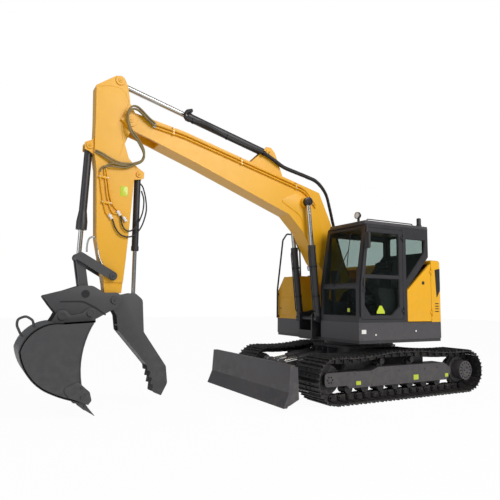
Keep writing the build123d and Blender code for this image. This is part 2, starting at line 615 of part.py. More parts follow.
with BuildPart() as guard_rail:
    with BuildLine(side_plane(-1200)) as rail_path:
        FilletPolyline((BOX_FRONT + 30, 1240), (BOX_FRONT + 30, 1790), (775, 2800), (680, 2935), (520, 2935),
                       (360, 2600), (330, 1816.6), radius=60)
    with BuildSketch(Plane(origin=rail_path.line @ 0, z_dir=rail_path.line % 0)) as tube:
        Circle(17)
    sweep(tube.sketch, path=rail_path.line)
    with Locations((BOX_FRONT + 15, -1200, 1270), (BOX_FRONT + 15, -1200, 1700)):
        Box(30 - 2 * SEAT, 24, 40)
finish(guard_rail, "guard_rail")

# Cab shell
cab_side = (
    (CAB_FRONT, CAB_BOTTOM), (CAB_FRONT, CAB_KNEE_Z), (CAB_ROOF_FRONT, CAB_TOP), (CAB_REAR, CAB_TOP),
    (CAB_REAR, CAB_REAR_Z), (CAB_BACK_X, CAB_BACK_Z), (CAB_BACK_X, CAB_BOTTOM),
)
door_outline = (
    (850, 1285), (850, CAB_KNEE_Z), (712, 2775), (-55, 2775), (-55, 1285),
)
upper_pane = ((775, 2000), (690, 2700), (35, 2700), (35, 2000))
lower_pane = ((790, 1950), (790, 1500), (665, 1345), (210, 1345), (35, 1490), (35, 1950))
quarter_pane = ((-130, 2640), (-130, 1930), (-560, 2410), (-590, 2640))
right_pane = ((780, 1560), (690, 2700), (-560, 2700), (-560, 2430), (-100, 1930), (-100, 1560))

with BuildPart() as cab_frame:
    side_plate(cab_side, CAB_INNER, HOUSE_HALF)
    with BuildSketch(Plane.XZ) as inside:
        with BuildLine():
            Polyline(*cab_side, close=True)
        make_face()
        offset(amount=-CAB_WALL, kind=Kind.INTERSECTION, mode=Mode.REPLACE)
    side_sheet(inside.sketch, CAB_INNER + CAB_WALL, HOUSE_HALF - CAB_WALL, Mode.SUBTRACT)
    side_plate(door_outline, HOUSE_HALF - CAB_WALL - 1, HOUSE_HALF + 1, Mode.SUBTRACT)
    side_plate(quarter_pane, HOUSE_HALF - CAB_WALL - 1, HOUSE_HALF + 1, Mode.SUBTRACT)
    side_plate(right_pane, CAB_INNER - 1, CAB_INNER + CAB_WALL + 1, Mode.SUBTRACT)
    side_plate(((700, 1340), (1000, 1340), (1000, 1780), (700, 1780)), CAB_INNER + 70, HOUSE_HALF - 70, Mode.SUBTRACT)
    side_plate(((780, 1860), (1000, 1860), (800, 2760), (650, 2760)), CAB_INNER + 70, HOUSE_HALF - 70, Mode.SUBTRACT)
    side_plate(((-800, 2420), (-560, 2420), (-560, 2760), (-800, 2760)), CAB_INNER + 90, HOUSE_HALF - 90, Mode.SUBTRACT)
    hinge_fixed(CAB_HINGE_X, 1, CAB_HINGES)
finish(cab_frame, "cab_frame")

with BuildPart() as cab_roof:
    side_plate(((CAB_ROOF_FRONT + 5, CAB_TOP + SEAT), (CAB_ROOF_FRONT - 25, ROOF_TOP), (CAB_REAR - 40, ROOF_TOP),
                (CAB_REAR - 50, CAB_TOP + SEAT)), CAB_INNER + 40, HOUSE_HALF - 40)
finish(cab_roof, "cab_roof")

with BuildPart() as cab_door:
    with BuildSketch(Plane.XZ) as leaf:
        with BuildLine():
            Polyline(*door_outline, close=True)
        make_face()
        offset(amount=-6, kind=Kind.INTERSECTION, mode=Mode.REPLACE)
    side_sheet(leaf.sketch, HOUSE_HALF - CAB_WALL, HOUSE_HALF)
    side_plate(upper_pane, HOUSE_HALF - CAB_WALL, HOUSE_HALF, Mode.SUBTRACT)
    side_plate(lower_pane, HOUSE_HALF - CAB_WALL, HOUSE_HALF, Mode.SUBTRACT)
    hinge_moving(CAB_HINGE_X, 1, CAB_HINGES)
finish(cab_door, "cab_door")


def pane(points, low_y):
    """Glass sheet that stands a seat's gap inside its opening."""
    with BuildSketch(Plane.XZ) as sheet:
        with BuildLine():
            Polyline(*points, close=True)
        make_face()
        offset(amount=-SEAT, kind=Kind.INTERSECTION, mode=Mode.REPLACE)
    side_sheet(sheet.sketch, low_y, low_y + GLASS)


with BuildPart() as door_glass:
    pane(upper_pane, HOUSE_HALF - CAB_WALL / 2)
    pane(lower_pane, HOUSE_HALF - CAB_WALL / 2)
finish(door_glass, "door_glass")

with BuildPart() as cab_glass:
    pane(quarter_pane, HOUSE_HALF - CAB_WALL / 2)
    pane(right_pane, CAB_INNER + CAB_WALL / 2)
    with Locations((CAB_FRONT - 20, (CAB_INNER + HOUSE_HALF) / 2, 1560)):
        Box(GLASS, HOUSE_HALF - CAB_INNER - 140 - 2 * SEAT, 440 - 2 * SEAT)
    side_plate(((889, 1861), (895, 1861), (751, 2759), (745, 2759)), CAB_INNER + 70 + SEAT, HOUSE_HALF - 70 - SEAT)
    with Locations((CAB_REAR + 20, (CAB_INNER + HOUSE_HALF) / 2, 2590)):
        Box(GLASS, HOUSE_HALF - CAB_INNER - 180 - 2 * SEAT, 340 - 2 * SEAT)
finish(cab_glass, "cab_glass")

cab_middle = (CAB_INNER + HOUSE_HALF) / 2
with BuildPart() as seat:
    side_plate(((30, CAB_BOTTOM + CAB_WALL + SEAT), (370, CAB_BOTTOM + CAB_WALL + SEAT), (370, 1500), (520, 1560),
                (520, 1680), (110, 1660), (0, 2280), (-110, 2260), (10, 1600)), cab_middle - 240, cab_middle + 240)
finish(seat, "seat")

with BuildPart() as console:
    for side in (-1, 1):
        low_y = cab_middle + side * 330 - 55
        side_plate(((-20, CAB_BOTTOM + CAB_WALL + SEAT), (260, CAB_BOTTOM + CAB_WALL + SEAT), (400, 1700), (390, 1800),
                    (40, 1780)), low_y, low_y + 110)
    with Locations((700, CAB_INNER + CAB_WALL + 90, 2000)):
        Box(60, 160, 200)
    with Locations((700, CAB_INNER + CAB_WALL + 40, CAB_BOTTOM + CAB_WALL + SEAT + 320)):
        Box(60, 60, 640)
finish(console, "console")

# Boom: one box section, bent at its middle, with a fork at the tip
boom_side = (
    (6, 1753), (564, 3030), (807, 3537), (3449, 4228), (4304, 4383), (4456, 4247), (4304, 4104),
    (4013, 4016), (3180, 3729), (1458, 3085), (1160, 2789), (868, 2280), (280, 1560),
)
with BuildPart() as boom:
    side_plate(boom_side, -BOOM_HALF, BOOM_HALF)
    cross_pin(BOOM_FOOT, 140, -BOOM_HALF, BOOM_HALF)
    side_plate(((3848, 3831), (3848, 4540), (4679, 4540), (4679, 3831)), -FORK_INNER, FORK_INNER, Mode.SUBTRACT)
    cross_pin(BOOM_FOOT, 55 + PIN_GAP, -BOOM_HALF, BOOM_HALF, Mode.SUBTRACT)
    cross_pin(BOOM_TIP, 45, -BOOM_HALF, BOOM_HALF)
    twin_bosses(BOOM_EYE_PIN, 95, BOOM_HALF, BOOM_CYLINDER_Y - BOOM_EYE_HALF - SEAT)
    bracket_inner = ARM_BARREL + RUNNING_GAP
    twin_plates(((1537, 3709), (1719, 4165), (1800, 4246), (1892, 4246), (1963, 4155), (2246, 3892)),
                bracket_inner, bracket_inner + LUG)
    cross_pin(ARM_BASE_PIN, 38, -bracket_inner - LUG, bracket_inner + LUG)
finish(boom, "boom", DIG_OFFSET)

boom_reach = distance(BOOM_BASE_PIN, BOOM_EYE_PIN)
with BuildPart() as boom_cylinder_barrels:
    for side in (-1, 1):
        y = side * BOOM_CYLINDER_Y
        strut(BOOM_BASE_PIN, BOOM_EYE_PIN, y, 45, BOOM_GLAND, 60)
        cross_pin(BOOM_BASE_PIN, 70, y - 36, y + 36)
        strut(BOOM_BASE_PIN, BOOM_EYE_PIN, y, 90, BOOM_GLAND, 40 + PIN_GAP, Mode.SUBTRACT)
        cross_pin(BOOM_BASE_PIN, 40 + PIN_GAP, y - 36, y + 36, Mode.SUBTRACT)
finish(boom_cylinder_barrels, "boom_cylinder_barrels", DIG_OFFSET)

with BuildPart() as boom_cylinder_rods:
    for side in (-1, 1):
        y = side * BOOM_CYLINDER_Y
        strut(BOOM_BASE_PIN, BOOM_EYE_PIN, y, boom_reach - BOOM_ROD, boom_reach - 50, 40)
        cross_pin(BOOM_EYE_PIN, 75, y - BOOM_EYE_HALF, y + BOOM_EYE_HALF)
finish(boom_cylinder_rods, "boom_cylinder_rods", DIG_OFFSET)

arm_reach = distance(ARM_BASE_PIN, ARM_EYE_PIN)
with BuildPart() as arm_cylinder_barrel:
    strut(ARM_BASE_PIN, ARM_EYE_PIN, 0, 45, 1560, ARM_BARREL)
    cross_pin(ARM_BASE_PIN, 70, -45, 45)
    strut(ARM_BASE_PIN, ARM_EYE_PIN, 0, 100, 1560, 42 + PIN_GAP, Mode.SUBTRACT)
    cross_pin(ARM_BASE_PIN, 38 + PIN_GAP, -45, 45, Mode.SUBTRACT)
finish(arm_cylinder_barrel, "arm_cylinder_barrel", DIG_OFFSET)

with BuildPart() as arm_cylinder_rod:
    strut(ARM_BASE_PIN, ARM_EYE_PIN, 0, arm_reach - 1660, arm_reach - 50, 42)
    cross_pin(ARM_EYE_PIN, 70, -ARM_SLOT_HALF + SEAT, ARM_SLOT_HALF - SEAT)
finish(arm_cylinder_rod, "arm_cylinder_rod", DIG_OFFSET)

# Arm
arm_side = (
    (4824, 4707), (4641, 4841), (4537, 4915), (4416, 4905), (4355, 4784), (4313, 4523), (4203, 4338), (4193, 4186),
    (4304, 4074), (4375, 3881), (4304, 3669), (4203, 3567), (4213, 3365), (4270, 2494), (4300, 2107), (4341, 1651),
    (4584, 1651), (4607, 1834), (4694, 2260), (4730, 2431), (4772, 3451), (4811, 3689), (4811, 4191),
)
with BuildPart() as arm:
    side_plate(arm_side, -ARM_HALF, ARM_HALF)
    side_plate(((4172, 4459), (4172, 5007), (4679, 5007), (4578, 4459)), -ARM_SLOT_HALF, ARM_SLOT_HALF, Mode.SUBTRACT)
    side_plate(((4071, 1398), (4050, ARM_TIP_TOP), (4900, ARM_TIP_TOP), (4882, 1398)), -200, -ARM_TIP_HALF, Mode.SUBTRACT)
    side_plate(((4071, 1398), (4050, ARM_TIP_TOP), (4900, ARM_TIP_TOP), (4882, 1398)), ARM_TIP_HALF, 200, Mode.SUBTRACT)
    cross_pin(BUCKET_PIN, 105, -ARM_TIP_HALF, ARM_TIP_HALF)
    cross_pin(BOOM_TIP, 130, -ARM_HALF, ARM_HALF)
    cross_pin(BOOM_TIP, 45 + PIN_GAP, -ARM_HALF, ARM_HALF, Mode.SUBTRACT)
    cross_pin(BUCKET_PIN, 35, -COUPLER_INNER - COUPLER_PLATE, COUPLER_INNER + COUPLER_PLATE)
    cross_pin(SIDE_LINK_PIN, 35, -SIDE_LINK_INNER - SIDE_LINK_THICK, SIDE_LINK_INNER + SIDE_LINK_THICK)
    bucket_lug_inner = BUCKET_BARREL + RUNNING_GAP
    twin_plates(((4760, 4034), (4841, 3881), (4943, 3831), (4943, 3729), (4882, 3709), (4760, 3628)),
                bucket_lug_inner, bucket_lug_inner + LUG)
    cross_pin(BUCKET_BASE_PIN, 32, -bucket_lug_inner - LUG, bucket_lug_inner + LUG)
    thumb_lug_inner = THUMB_BARREL + RUNNING_GAP
    twin_plates(((4274, 3648), (4132, 3547), (4051, 3496), (4051, 3405), (4132, 3375), (4274, 3354)),
                thumb_lug_inner, thumb_lug_inner + LUG)
    cross_pin(THUMB_BASE_PIN, 30, -thumb_lug_inner - LUG, thumb_lug_inner + LUG)
finish(arm, "arm", DIG_OFFSET)


def single_cylinder(base, eye, barrel, rod, gland, rod_length, half_eye):
    """Barrel and rod of one cylinder on the machine's middle plane."""
    reach = distance(base, eye)
    with BuildPart() as tube:
        strut(base, eye, 0, 40, gland, barrel)
        cross_pin(base, barrel, -half_eye, half_eye)
        strut(base, eye, 0, 80, gland, rod + PIN_GAP, Mode.SUBTRACT)
    with BuildPart() as stem:
        strut(base, eye, 0, reach - rod_length, reach - 40, rod)
        cross_pin(eye, barrel, -half_eye, half_eye)
    return tube, stem


bucket_barrel, bucket_rod = single_cylinder(BUCKET_BASE_PIN, LINK_TOP_PIN, BUCKET_BARREL, 34, 1180, 1250, H_LINK_INNER - SEAT)
with BuildPart() as bucket_cylinder_barrel:
    add(bucket_barrel.part)
    cross_pin(BUCKET_BASE_PIN, 32 + PIN_GAP, -H_LINK_INNER, H_LINK_INNER, Mode.SUBTRACT)
finish(bucket_cylinder_barrel, "bucket_cylinder_barrel", DIG_OFFSET)
finish(bucket_rod, "bucket_cylinder_rod", DIG_OFFSET)

thumb_barrel, thumb_rod = single_cylinder(THUMB_BASE_PIN, THUMB_EYE_PIN, THUMB_BARREL, 30, 1160, 1200, THUMB_EYE_HALF)
with BuildPart() as thumb_cylinder_barrel:
    add(thumb_barrel.part)
    cross_pin(THUMB_BASE_PIN, 30 + PIN_GAP, -THUMB_EYE_HALF, THUMB_EYE_HALF, Mode.SUBTRACT)
finish(thumb_cylinder_barrel, "thumb_cylinder_barrel", DIG_OFFSET)
finish(thumb_rod, "thumb_cylinder_rod", DIG_OFFSET)


def link_bar(start, end, radius, low_y, high_y):
    """Flat link with round ends on two pins."""
    dx, dz = end[0] - start[0], end[1] - start[1]
    length = math.hypot(dx, dz)
    nx, nz = -dz / length * radius, dx / length * radius
    side_plate(((start[0] + nx, start[1] + nz), (end[0] + nx, end[1] + nz),
                (end[0] - nx, end[1] - nz), (start[0] - nx, start[1] - nz)), low_y, high_y)
    for pin in (start, end):
        cross_pin(pin, radius, low_y, high_y)


with BuildPart() as side_links:
    for side in (-1, 1):
        low_y = min(side * SIDE_LINK_INNER, side * (SIDE_LINK_INNER + SIDE_LINK_THICK))
        link_bar(SIDE_LINK_PIN, LINK_TOP_PIN, 62, low_y, low_y + SIDE_LINK_THICK)
        cross_pin(SIDE_LINK_PIN, 35 + PIN_GAP, low_y, low_y + SIDE_LINK_THICK, Mode.SUBTRACT)
finish(side_links, "side_links", DIG_OFFSET)

with BuildPart() as h_link:
    for side in (-1, 1):
        low_y = min(side * H_LINK_INNER, side * 130)
        link_bar(COUPLER_LINK_PIN, LINK_TOP_PIN, 58, low_y, low_y + 70)
    side_plate(((4831, 1763), (4933, 1763), (4945, 1986), (4862, 1986)), -130, 130)
    twin_bosses(LINK_TOP_PIN, 50, 130, SIDE_LINK_INNER - SEAT)
    cross_pin(COUPLER_LINK_PIN, 35 + PIN_GAP, -130, 130, Mode.SUBTRACT)
finish(h_link, "h_link", DIG_OFFSET)

# Quick coupler
coupler_side = (
    (4355, 1560), (4406, 1469), (4699, 1289), (4811, 1276), (5105, 1264), (5206, 1297), (5318, 1473), (5406, 1607),
    (5230, 1665), (4947, 1733), (4766, 1744), (4594, 1651), (4446, 1651),
)
with BuildPart() as coupler:
    for side in (-1, 1):
        low_y = min(side * COUPLER_INNER, side * (COUPLER_INNER + COUPLER_PLATE))
        side_plate(coupler_side, low_y, low_y + COUPLER_PLATE)
    side_plate(((4699, 1327), (4882, 1327), (4882, 1479), (4699, 1479)), -COUPLER_INNER, COUPLER_INNER)
    side_plate(((5034, 1398), (5186, 1398), (5338, 1591), (5085, 1641)), -COUPLER_INNER, COUPLER_INNER)
    cross_pin(BUCKET_PIN, 35 + PIN_GAP, -200, 200, Mode.SUBTRACT)
    cross_pin(COUPLER_LINK_PIN, 35, -COUPLER_INNER, COUPLER_INNER)
    for pin in (COUPLER_REAR_PIN, COUPLER_FRONT_PIN):
        cross_pin(pin, 33 + PIN_GAP, -200, 200, Mode.SUBTRACT)
finish(coupler, "coupler", DIG_OFFSET)

# Bucket: shell plate round the belly, two side walls, ears, lip and teeth
belly = (
    (4760, 1268), (5166, 1246), (5470, 1185), (5632, 1053), (5693, 891), (5632, 688), (5521, 506),
    (5368, 374), (5186, 273), (4983, 212), (4831, 182),
)
mouth = ((4831, 182), (4922, 465), (4922, 770), (4882, 1003), (4811, 1175), (4760, 1268))
with BuildPart() as bucket:
    with BuildSketch(Plane.XZ) as outline:
        with BuildLine():
            Polyline(*(belly + mouth[1:-1]), close=True)
        make_face()
    side_sheet(outline.sketch, -BUCKET_HALF, BUCKET_HALF)
    side_plate(((4679, 242), (4831, 208), (5176, 299), (5358, 397), (5500, 526), (5607, 697), (5664, 889), (5610, 1038),
                (5460, 1158), (5166, 1219), (4679, 1266)), -BUCKET_HALF + BUCKET_WALL, BUCKET_HALF - BUCKET_WALL,
               Mode.SUBTRACT)
    for side in (-1, 1):
        low_y = min(side * (COUPLER_INNER + COUPLER_PLATE + 6), side * (COUPLER_INNER + COUPLER_PLATE + 36))
        side_plate(((4710, 1246), (4710, 1398), (4778, 1439), (4862, 1388), (5085, 1327), (5160, 1398), (5247, 1327),
                    (5247, 1216)), low_y, low_y + 30)
    for pin in (COUPLER_REAR_PIN, COUPLER_FRONT_PIN):
        cross_pin(pin, 33, -COUPLER_INNER - COUPLER_PLATE - 36, COUPLER_INNER + COUPLER_PLATE + 36)
    for y in (-410, -205, 0, 205, 410):
        side_plate(((4720, 9), (4831, 177), (4943, 207), (4882, 222), (4811, 207)), y - 40, y + 40)
finish(bucket, "bucket", DIG_OFFSET)

# Thumb: two side plates with prongs
thumb_side = (
    (4476, 1449), (4416, 1398), (4363, 1120), (3919, 587), (3828, 208), (3703, 146), (3605, 324), (3638, 574),
    (3993, 1085), (4020, 1418), (4041, 1601), (4132, 1662), (4223, 1621), (4375, 1641), (4517, 1631), (4552, 1550),
)
with BuildPart() as thumb:
    for side in (-1, 1):
        low_y = min(side * THUMB_INNER, side * (THUMB_INNER + THUMB_PLATE))
        side_plate(thumb_side, low_y, low_y + THUMB_PLATE)
    twin_bosses(THUMB_EYE_PIN, 48, THUMB_EYE_HALF + SEAT, THUMB_INNER)
    side_plate(((4030, 1094), (4172, 1094), (4172, 1246), (4051, 1246)), -THUMB_INNER, THUMB_INNER)
    side_plate(((3726, 486), (3818, 486), (3818, 628), (3767, 628)), -THUMB_INNER, THUMB_INNER)
    cross_pin(BUCKET_PIN, 35 + PIN_GAP, -200, 200, Mode.SUBTRACT)
finish(thumb, "thumb", DIG_OFFSET)

# Footprint's centre goes to the origin
boxes = [piece.bounding_box() for piece in pieces]
low, high = [Vector(*(pick(getattr(getattr(box, end), axis) for box in boxes) for axis in "XYZ"))
             for end, pick in (("min", min), ("max", max))]
stand = Location((-(low.X + high.X) / 2, -(low.Y + high.Y) / 2, -low.Z))
os.makedirs("parts", exist_ok=True)
for piece in pieces:
    placed = piece.moved(stand)
    placed.label = piece.label
    export_step(placed, f"parts/{piece.label}.step")
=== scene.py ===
# %% [markdown]
# # A crawler excavator, dressed
# The solids of the machine come packed as a fixed frame: every node is in metres, with the ground at zero,
# X forward to the bucket, Y to the machine's left and Z up. This file gives each of them a finish, makes the tracks,
# bucket, coupler, thumb and seat again in finer form, and adds the small things that a CAD model leaves out: hoses,
# clamps, bolts, pin caps, lamps, blank plates and rubber trim.

import math

import bmesh
import bpy
import numpy as np
from mathutils import Matrix, Vector


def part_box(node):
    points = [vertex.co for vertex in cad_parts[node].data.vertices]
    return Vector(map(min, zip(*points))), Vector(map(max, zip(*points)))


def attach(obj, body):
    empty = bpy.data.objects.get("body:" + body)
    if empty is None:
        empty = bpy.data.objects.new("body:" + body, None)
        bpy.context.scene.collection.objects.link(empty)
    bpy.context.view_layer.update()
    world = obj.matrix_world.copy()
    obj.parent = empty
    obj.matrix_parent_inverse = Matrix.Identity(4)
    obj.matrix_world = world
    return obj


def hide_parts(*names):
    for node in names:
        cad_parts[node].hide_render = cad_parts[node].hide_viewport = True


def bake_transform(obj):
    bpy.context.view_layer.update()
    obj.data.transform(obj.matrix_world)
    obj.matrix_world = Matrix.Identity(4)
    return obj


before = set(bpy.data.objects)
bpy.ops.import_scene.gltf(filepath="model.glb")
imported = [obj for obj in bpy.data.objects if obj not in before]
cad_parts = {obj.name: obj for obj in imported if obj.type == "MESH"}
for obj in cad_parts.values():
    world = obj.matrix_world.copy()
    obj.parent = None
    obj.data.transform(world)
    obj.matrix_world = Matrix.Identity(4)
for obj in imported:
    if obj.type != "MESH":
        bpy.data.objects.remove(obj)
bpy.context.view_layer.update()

# %% [markdown]
# The slew axis isn't at the frame's origin, because the origin is the middle of the whole footprint. Sizes read
# off the machine count from the slew axis, so one function moves them over.

# %% Slew axis
ring_low, ring_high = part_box("slew_ring")
SLEW_X = (ring_low.x + ring_high.x) / 2


def place(points):
    """Millimetres from the slew axis to metres in the frame: divide by a thousand and shift along X."""
    moved = np.asarray(points, float) / 1000
    moved[..., 0] += SLEW_X
    return moved


print("slew axis at X", round(SLEW_X, 4))

# %% [markdown]
# ## The camera
# The photograph was taken at eye height from the machine's front left with a moderate wide angle. Blender looks
# down a camera's own minus Z, so its matrix has the view's right, up and backward directions as columns. Angles
# could be typed instead, but directions can be checked against the machine's own axes. A roll of 0.6 degrees tilts
# the picture as the photographer held it.

# %% Camera
VIEW = Vector((-0.4791, -0.8716, 0.1036)).normalized()
ROLL = 0.0109  # radians
EYE = (6.2235, 7.3244, 1.543)  # metres, from the slew axis and the ground
SENSOR = 36.0  # mm
FOCAL_LENGTH, PHOTO_WIDTH = 498.97, 500  # both in the photograph's pixels
right = VIEW.cross(Vector((0, 0, 1))).normalized()
up = right.cross(VIEW)
rolled_right = right * math.cos(ROLL) + up * math.sin(ROLL)
rolled_up = up * math.cos(ROLL) - right * math.sin(ROLL)
camera_data = bpy.data.cameras.new("camera")
camera_data.sensor_width = SENSOR
camera_data.lens = SENSOR * FOCAL_LENGTH / PHOTO_WIDTH
camera_data.clip_end = 200
camera = bpy.data.objects.new("camera", camera_data)
bpy.context.scene.collection.objects.link(camera)
camera.matrix_world = Matrix.Translation(Vector((EYE[0] + SLEW_X, EYE[1], EYE[2]))) @ Matrix(
    (rolled_right, rolled_up, -VIEW)).transposed().to_4x4()
bpy.context.scene.camera = camera
bpy.context.scene.view_settings.view_transform = "Standard"
print("camera at", tuple(round(v, 3) for v in camera.matrix_world.translation), "lens", round(camera_data.lens, 2))

# %% [markdown]
# ## Nodes and colours
# Every finish below is a small graph of nodes. One function adds a node, sets its options and joins or fills its
# sockets, so that a graph reads as a list of lines. Colours are written as the hex values that a screen shows, and
# one function turns them to the linear light that the renderer adds up.


# %% Helpers for materials
def linear(hex_code):
    """sRGB to linear light: c / 12.92 below 0.04045, else ((c + 0.055) / 1.055) to the power 2.4."""
    channels = np.array([int(hex_code[i:i + 2], 16) for i in (1, 3, 5)]) / 255
    light = np.where(channels <= 0.04045, channels / 12.92, ((channels + 0.055) / 1.055) ** 2.4)
    return (*light, 1.0)


def darker(colour, share):
    """A colour whose red, green and blue are each the given share of what they were."""
    return tuple(c * share for c in colour[:3]) + (1,)


def add_node(material, kind, sockets=None, **settings):
    """Adds one node, sets its options, and fills each named socket with a value or with another node's output."""
    node = material.node_tree.nodes.new(kind)
    for name, value in settings.items():
        setattr(node, name, value)
    for name, value in (sockets or {}).items():
        socket = node.inputs[name]
        if isinstance(value, bpy.types.NodeSocket):
            material.node_tree.links.new(value, socket)
        else:
            socket.default_value = value
    return node


def join(material, output, socket):
    """Joins one output to one socket."""
    material.node_tree.links.new(output, socket)


def new_material(name):
    """An empty material with its output and a Principled shader joined, returned with that shader."""
    material = bpy.data.materials.new(name)
    material.use_nodes = True
    material.node_tree.nodes.clear()
    shader = add_node(material, "ShaderNodeBsdfPrincipled")
    add_node(material, "ShaderNodeOutputMaterial", {"Surface": shader.outputs["BSDF"]})
    return material, shader


def surface_of(material):
    """The socket through which a material's output takes its surface."""
    return next(n for n in material.node_tree.nodes if n.type == "OUTPUT_MATERIAL").inputs["Surface"]


print("mid grey in linear light", round(linear("#808080")[0], 3))

# %% [markdown]
# ## Enamel over steel
# The body is welded sheet steel, sprayed with two-pack enamel and baked. Up close the gloss is broken by a fine
# orange peel about 2.4 mm across, and a machine that has worked carries a thin film of dust in patches of about
# 110 mm, thickest low down. A painted picture could hold the dust, but noises need no unwrapping and fit any solid.
# Three are mixed: peel into the bump, dust into colour and roughness, and a slow one of 600 mm into the shade.

# %% Enamel
SHADE_CELLS, DUST_CELLS, PEEL_CELLS = 1.7, 9.0, 420.0  # noise cells to the metre, so 1000 over the size in mm


def enamel(name, paint, dust, roughness, dust_share=0.25, peel=0.06, low=0.0, high=1.2):
    """Baked enamel: slow change of shade, a dust film that fades with height, orange peel in the bump.

    Share of dust = noise between 0.42 and 0.68 spread over 0 to dust_share, times a fade from 1 at the low height to
    0.15 at the high one. The paint falls to 86% of its light with the slow noise, then gives way to dust by that
    share, and roughness rises by 0.3 where the share is full.
    """
    material, shader = new_material(name)
    where = add_node(material, "ShaderNodeTexCoord").outputs["Object"]
    slow = add_node(material, "ShaderNodeTexNoise", {"Vector": where, "Scale": SHADE_CELLS, "Detail": 3.0})
    film = add_node(material, "ShaderNodeTexNoise",
                    {"Vector": where, "Scale": DUST_CELLS, "Detail": 6.0, "Roughness": 0.6})
    height = add_node(material, "ShaderNodeSeparateXYZ", {"Vector": where})
    fade = add_node(material, "ShaderNodeMapRange",
                    {"Value": height.outputs["Z"], "From Min": low, "From Max": high, "To Min": 1.0, "To Max": 0.15})
    patchy = add_node(material, "ShaderNodeMapRange",
                      {"Value": film.outputs["Fac"], "From Min": 0.42, "From Max": 0.68, "To Min": 0.0,
                       "To Max": dust_share})
    share = add_node(material, "ShaderNodeMath", {0: patchy.outputs["Result"], 1: fade.outputs["Result"]},
                     operation="MULTIPLY")
    deep = add_node(material, "ShaderNodeMix",
                    {0: slow.outputs["Fac"], 6: linear(paint), 7: darker(linear(paint), 0.86)}, data_type="RGBA")
    dusty = add_node(material, "ShaderNodeMix", {0: share.outputs[0], 6: deep.outputs[2], 7: linear(dust)},
                     data_type="RGBA")
    join(material, dusty.outputs[2], shader.inputs["Base Color"])
    rough = add_node(material, "ShaderNodeMapRange",
                     {"Value": share.outputs[0], "From Min": 0.0, "From Max": dust_share, "To Min": roughness,
                      "To Max": min(1.0, roughness + 0.3)})
    join(material, rough.outputs["Result"], shader.inputs["Roughness"])
    grain = add_node(material, "ShaderNodeTexNoise", {"Vector": where, "Scale": PEEL_CELLS, "Detail": 1.0})
    bump = add_node(material, "ShaderNodeBump", {"Height": grain.outputs["Fac"], "Strength": peel, "Distance": 0.001})
    join(material, bump.outputs["Normal"], shader.inputs["Normal"])
    return material


yellow_enamel = enamel("yellow_enamel", "#F0B010", "#C3A155", 0.36, dust_share=0.2, low=0.9, high=2.6)
charcoal_enamel = enamel("charcoal_enamel", "#464448", "#7E766E", 0.42, dust_share=0.3)
black_enamel = enamel("black_enamel", "#2A292D", "#7A736B", 0.4, dust_share=0.25)
cab_enamel = enamel("cab_enamel", "#26252A", "#6E6862", 0.38, dust_share=0.2)
tool_enamel = enamel("tool_enamel", "#414144", "#77716B", 0.5, dust_share=0.3, peel=0.1)
print("enamels", sum(m.name.endswith("enamel") for m in bpy.data.materials))

# %% [markdown]
# ## Track steel
# Shoes are rolled and hardened steel plates. Their grousers wear bright on the ground, the plates between keep dull
# scale and dust. Nothing tells a shader which edge wears, so a Geometry node's pointiness isn't relied on: noise
# about 45 mm across breaks the metal and the scale instead, and a fine one of 6 mm stands for the pits.

# %% Track steel
SCALE_CELLS, PIT_CELLS = 22.0, 160.0  # to the metre
track_steel, shader = new_material("rolled_steel")
where = add_node(track_steel, "ShaderNodeTexCoord").outputs["Object"]
scale_patches = add_node(track_steel, "ShaderNodeTexNoise", {"Vector": where, "Scale": SCALE_CELLS, "Detail": 5.0})
patch_edge = add_node(track_steel, "ShaderNodeMapRange",
                      {"Value": scale_patches.outputs["Fac"], "From Min": 0.45, "From Max": 0.7})
scale_mix = add_node(track_steel, "ShaderNodeMix",
                     {0: patch_edge.outputs["Result"], 6: linear("#2D2C30"), 7: linear("#4E4A45")}, data_type="RGBA")
join(track_steel, scale_mix.outputs[2], shader.inputs["Base Color"])
shader.inputs["Metallic"].default_value = 0.45
shader.inputs["Roughness"].default_value = 0.55
pits = add_node(track_steel, "ShaderNodeTexNoise", {"Vector": where, "Scale": PIT_CELLS, "Detail": 4.0})
pit_bump = add_node(track_steel, "ShaderNodeBump",
                    {"Height": pits.outputs["Fac"], "Strength": 0.25, "Distance": 0.002})
join(track_steel, pit_bump.outputs["Normal"], shader.inputs["Normal"])
print("track steel: scale patches of", round(1000 / SCALE_CELLS), "mm")

# %% [markdown]
# ## Chrome
# Cylinder rods are ground and hard chromed, a grey metal whose only texture is the lengthwise haze that wiper seals
# leave. The lamps here are few and the floor is white, so a plain mirror would show flat white: a noise of 33 mm
# moves the roughness a little, and the metal is kept greyer than life.

# %% Chrome
HAZE_CELLS = 30.0  # to the metre
rod_chrome, shader = new_material("hard_chrome")
where = add_node(rod_chrome, "ShaderNodeTexCoord").outputs["Object"]
haze = add_node(rod_chrome, "ShaderNodeTexNoise", {"Vector": where, "Scale": HAZE_CELLS, "Detail": 2.0})
haze_range = add_node(rod_chrome, "ShaderNodeMapRange",
                      {"Value": haze.outputs["Fac"], "To Min": 0.12, "To Max": 0.26})
join(rod_chrome, haze_range.outputs["Result"], shader.inputs["Roughness"])
shader.inputs["Base Color"].default_value = linear("#B4B3B0")
shader.inputs["Metallic"].default_value = 1.0
print("chrome: haze of", round(1000 / HAZE_CELLS), "mm")

# %% [markdown]
# ## Glass
# Cab windows are tempered glass with a grey-green tint. A thin pane that only tints what is behind it is a mix of a
# transparent colour and a mirror that grows at shallow angles, which Fresnel gives. A real refraction shader would
# turn the pane black where two sheets overlap. Each pane is a closed sheet, and only its outer face may mirror: seen
# from inside, the same Fresnel would give total reflection, so the share is multiplied by one minus Backfacing.

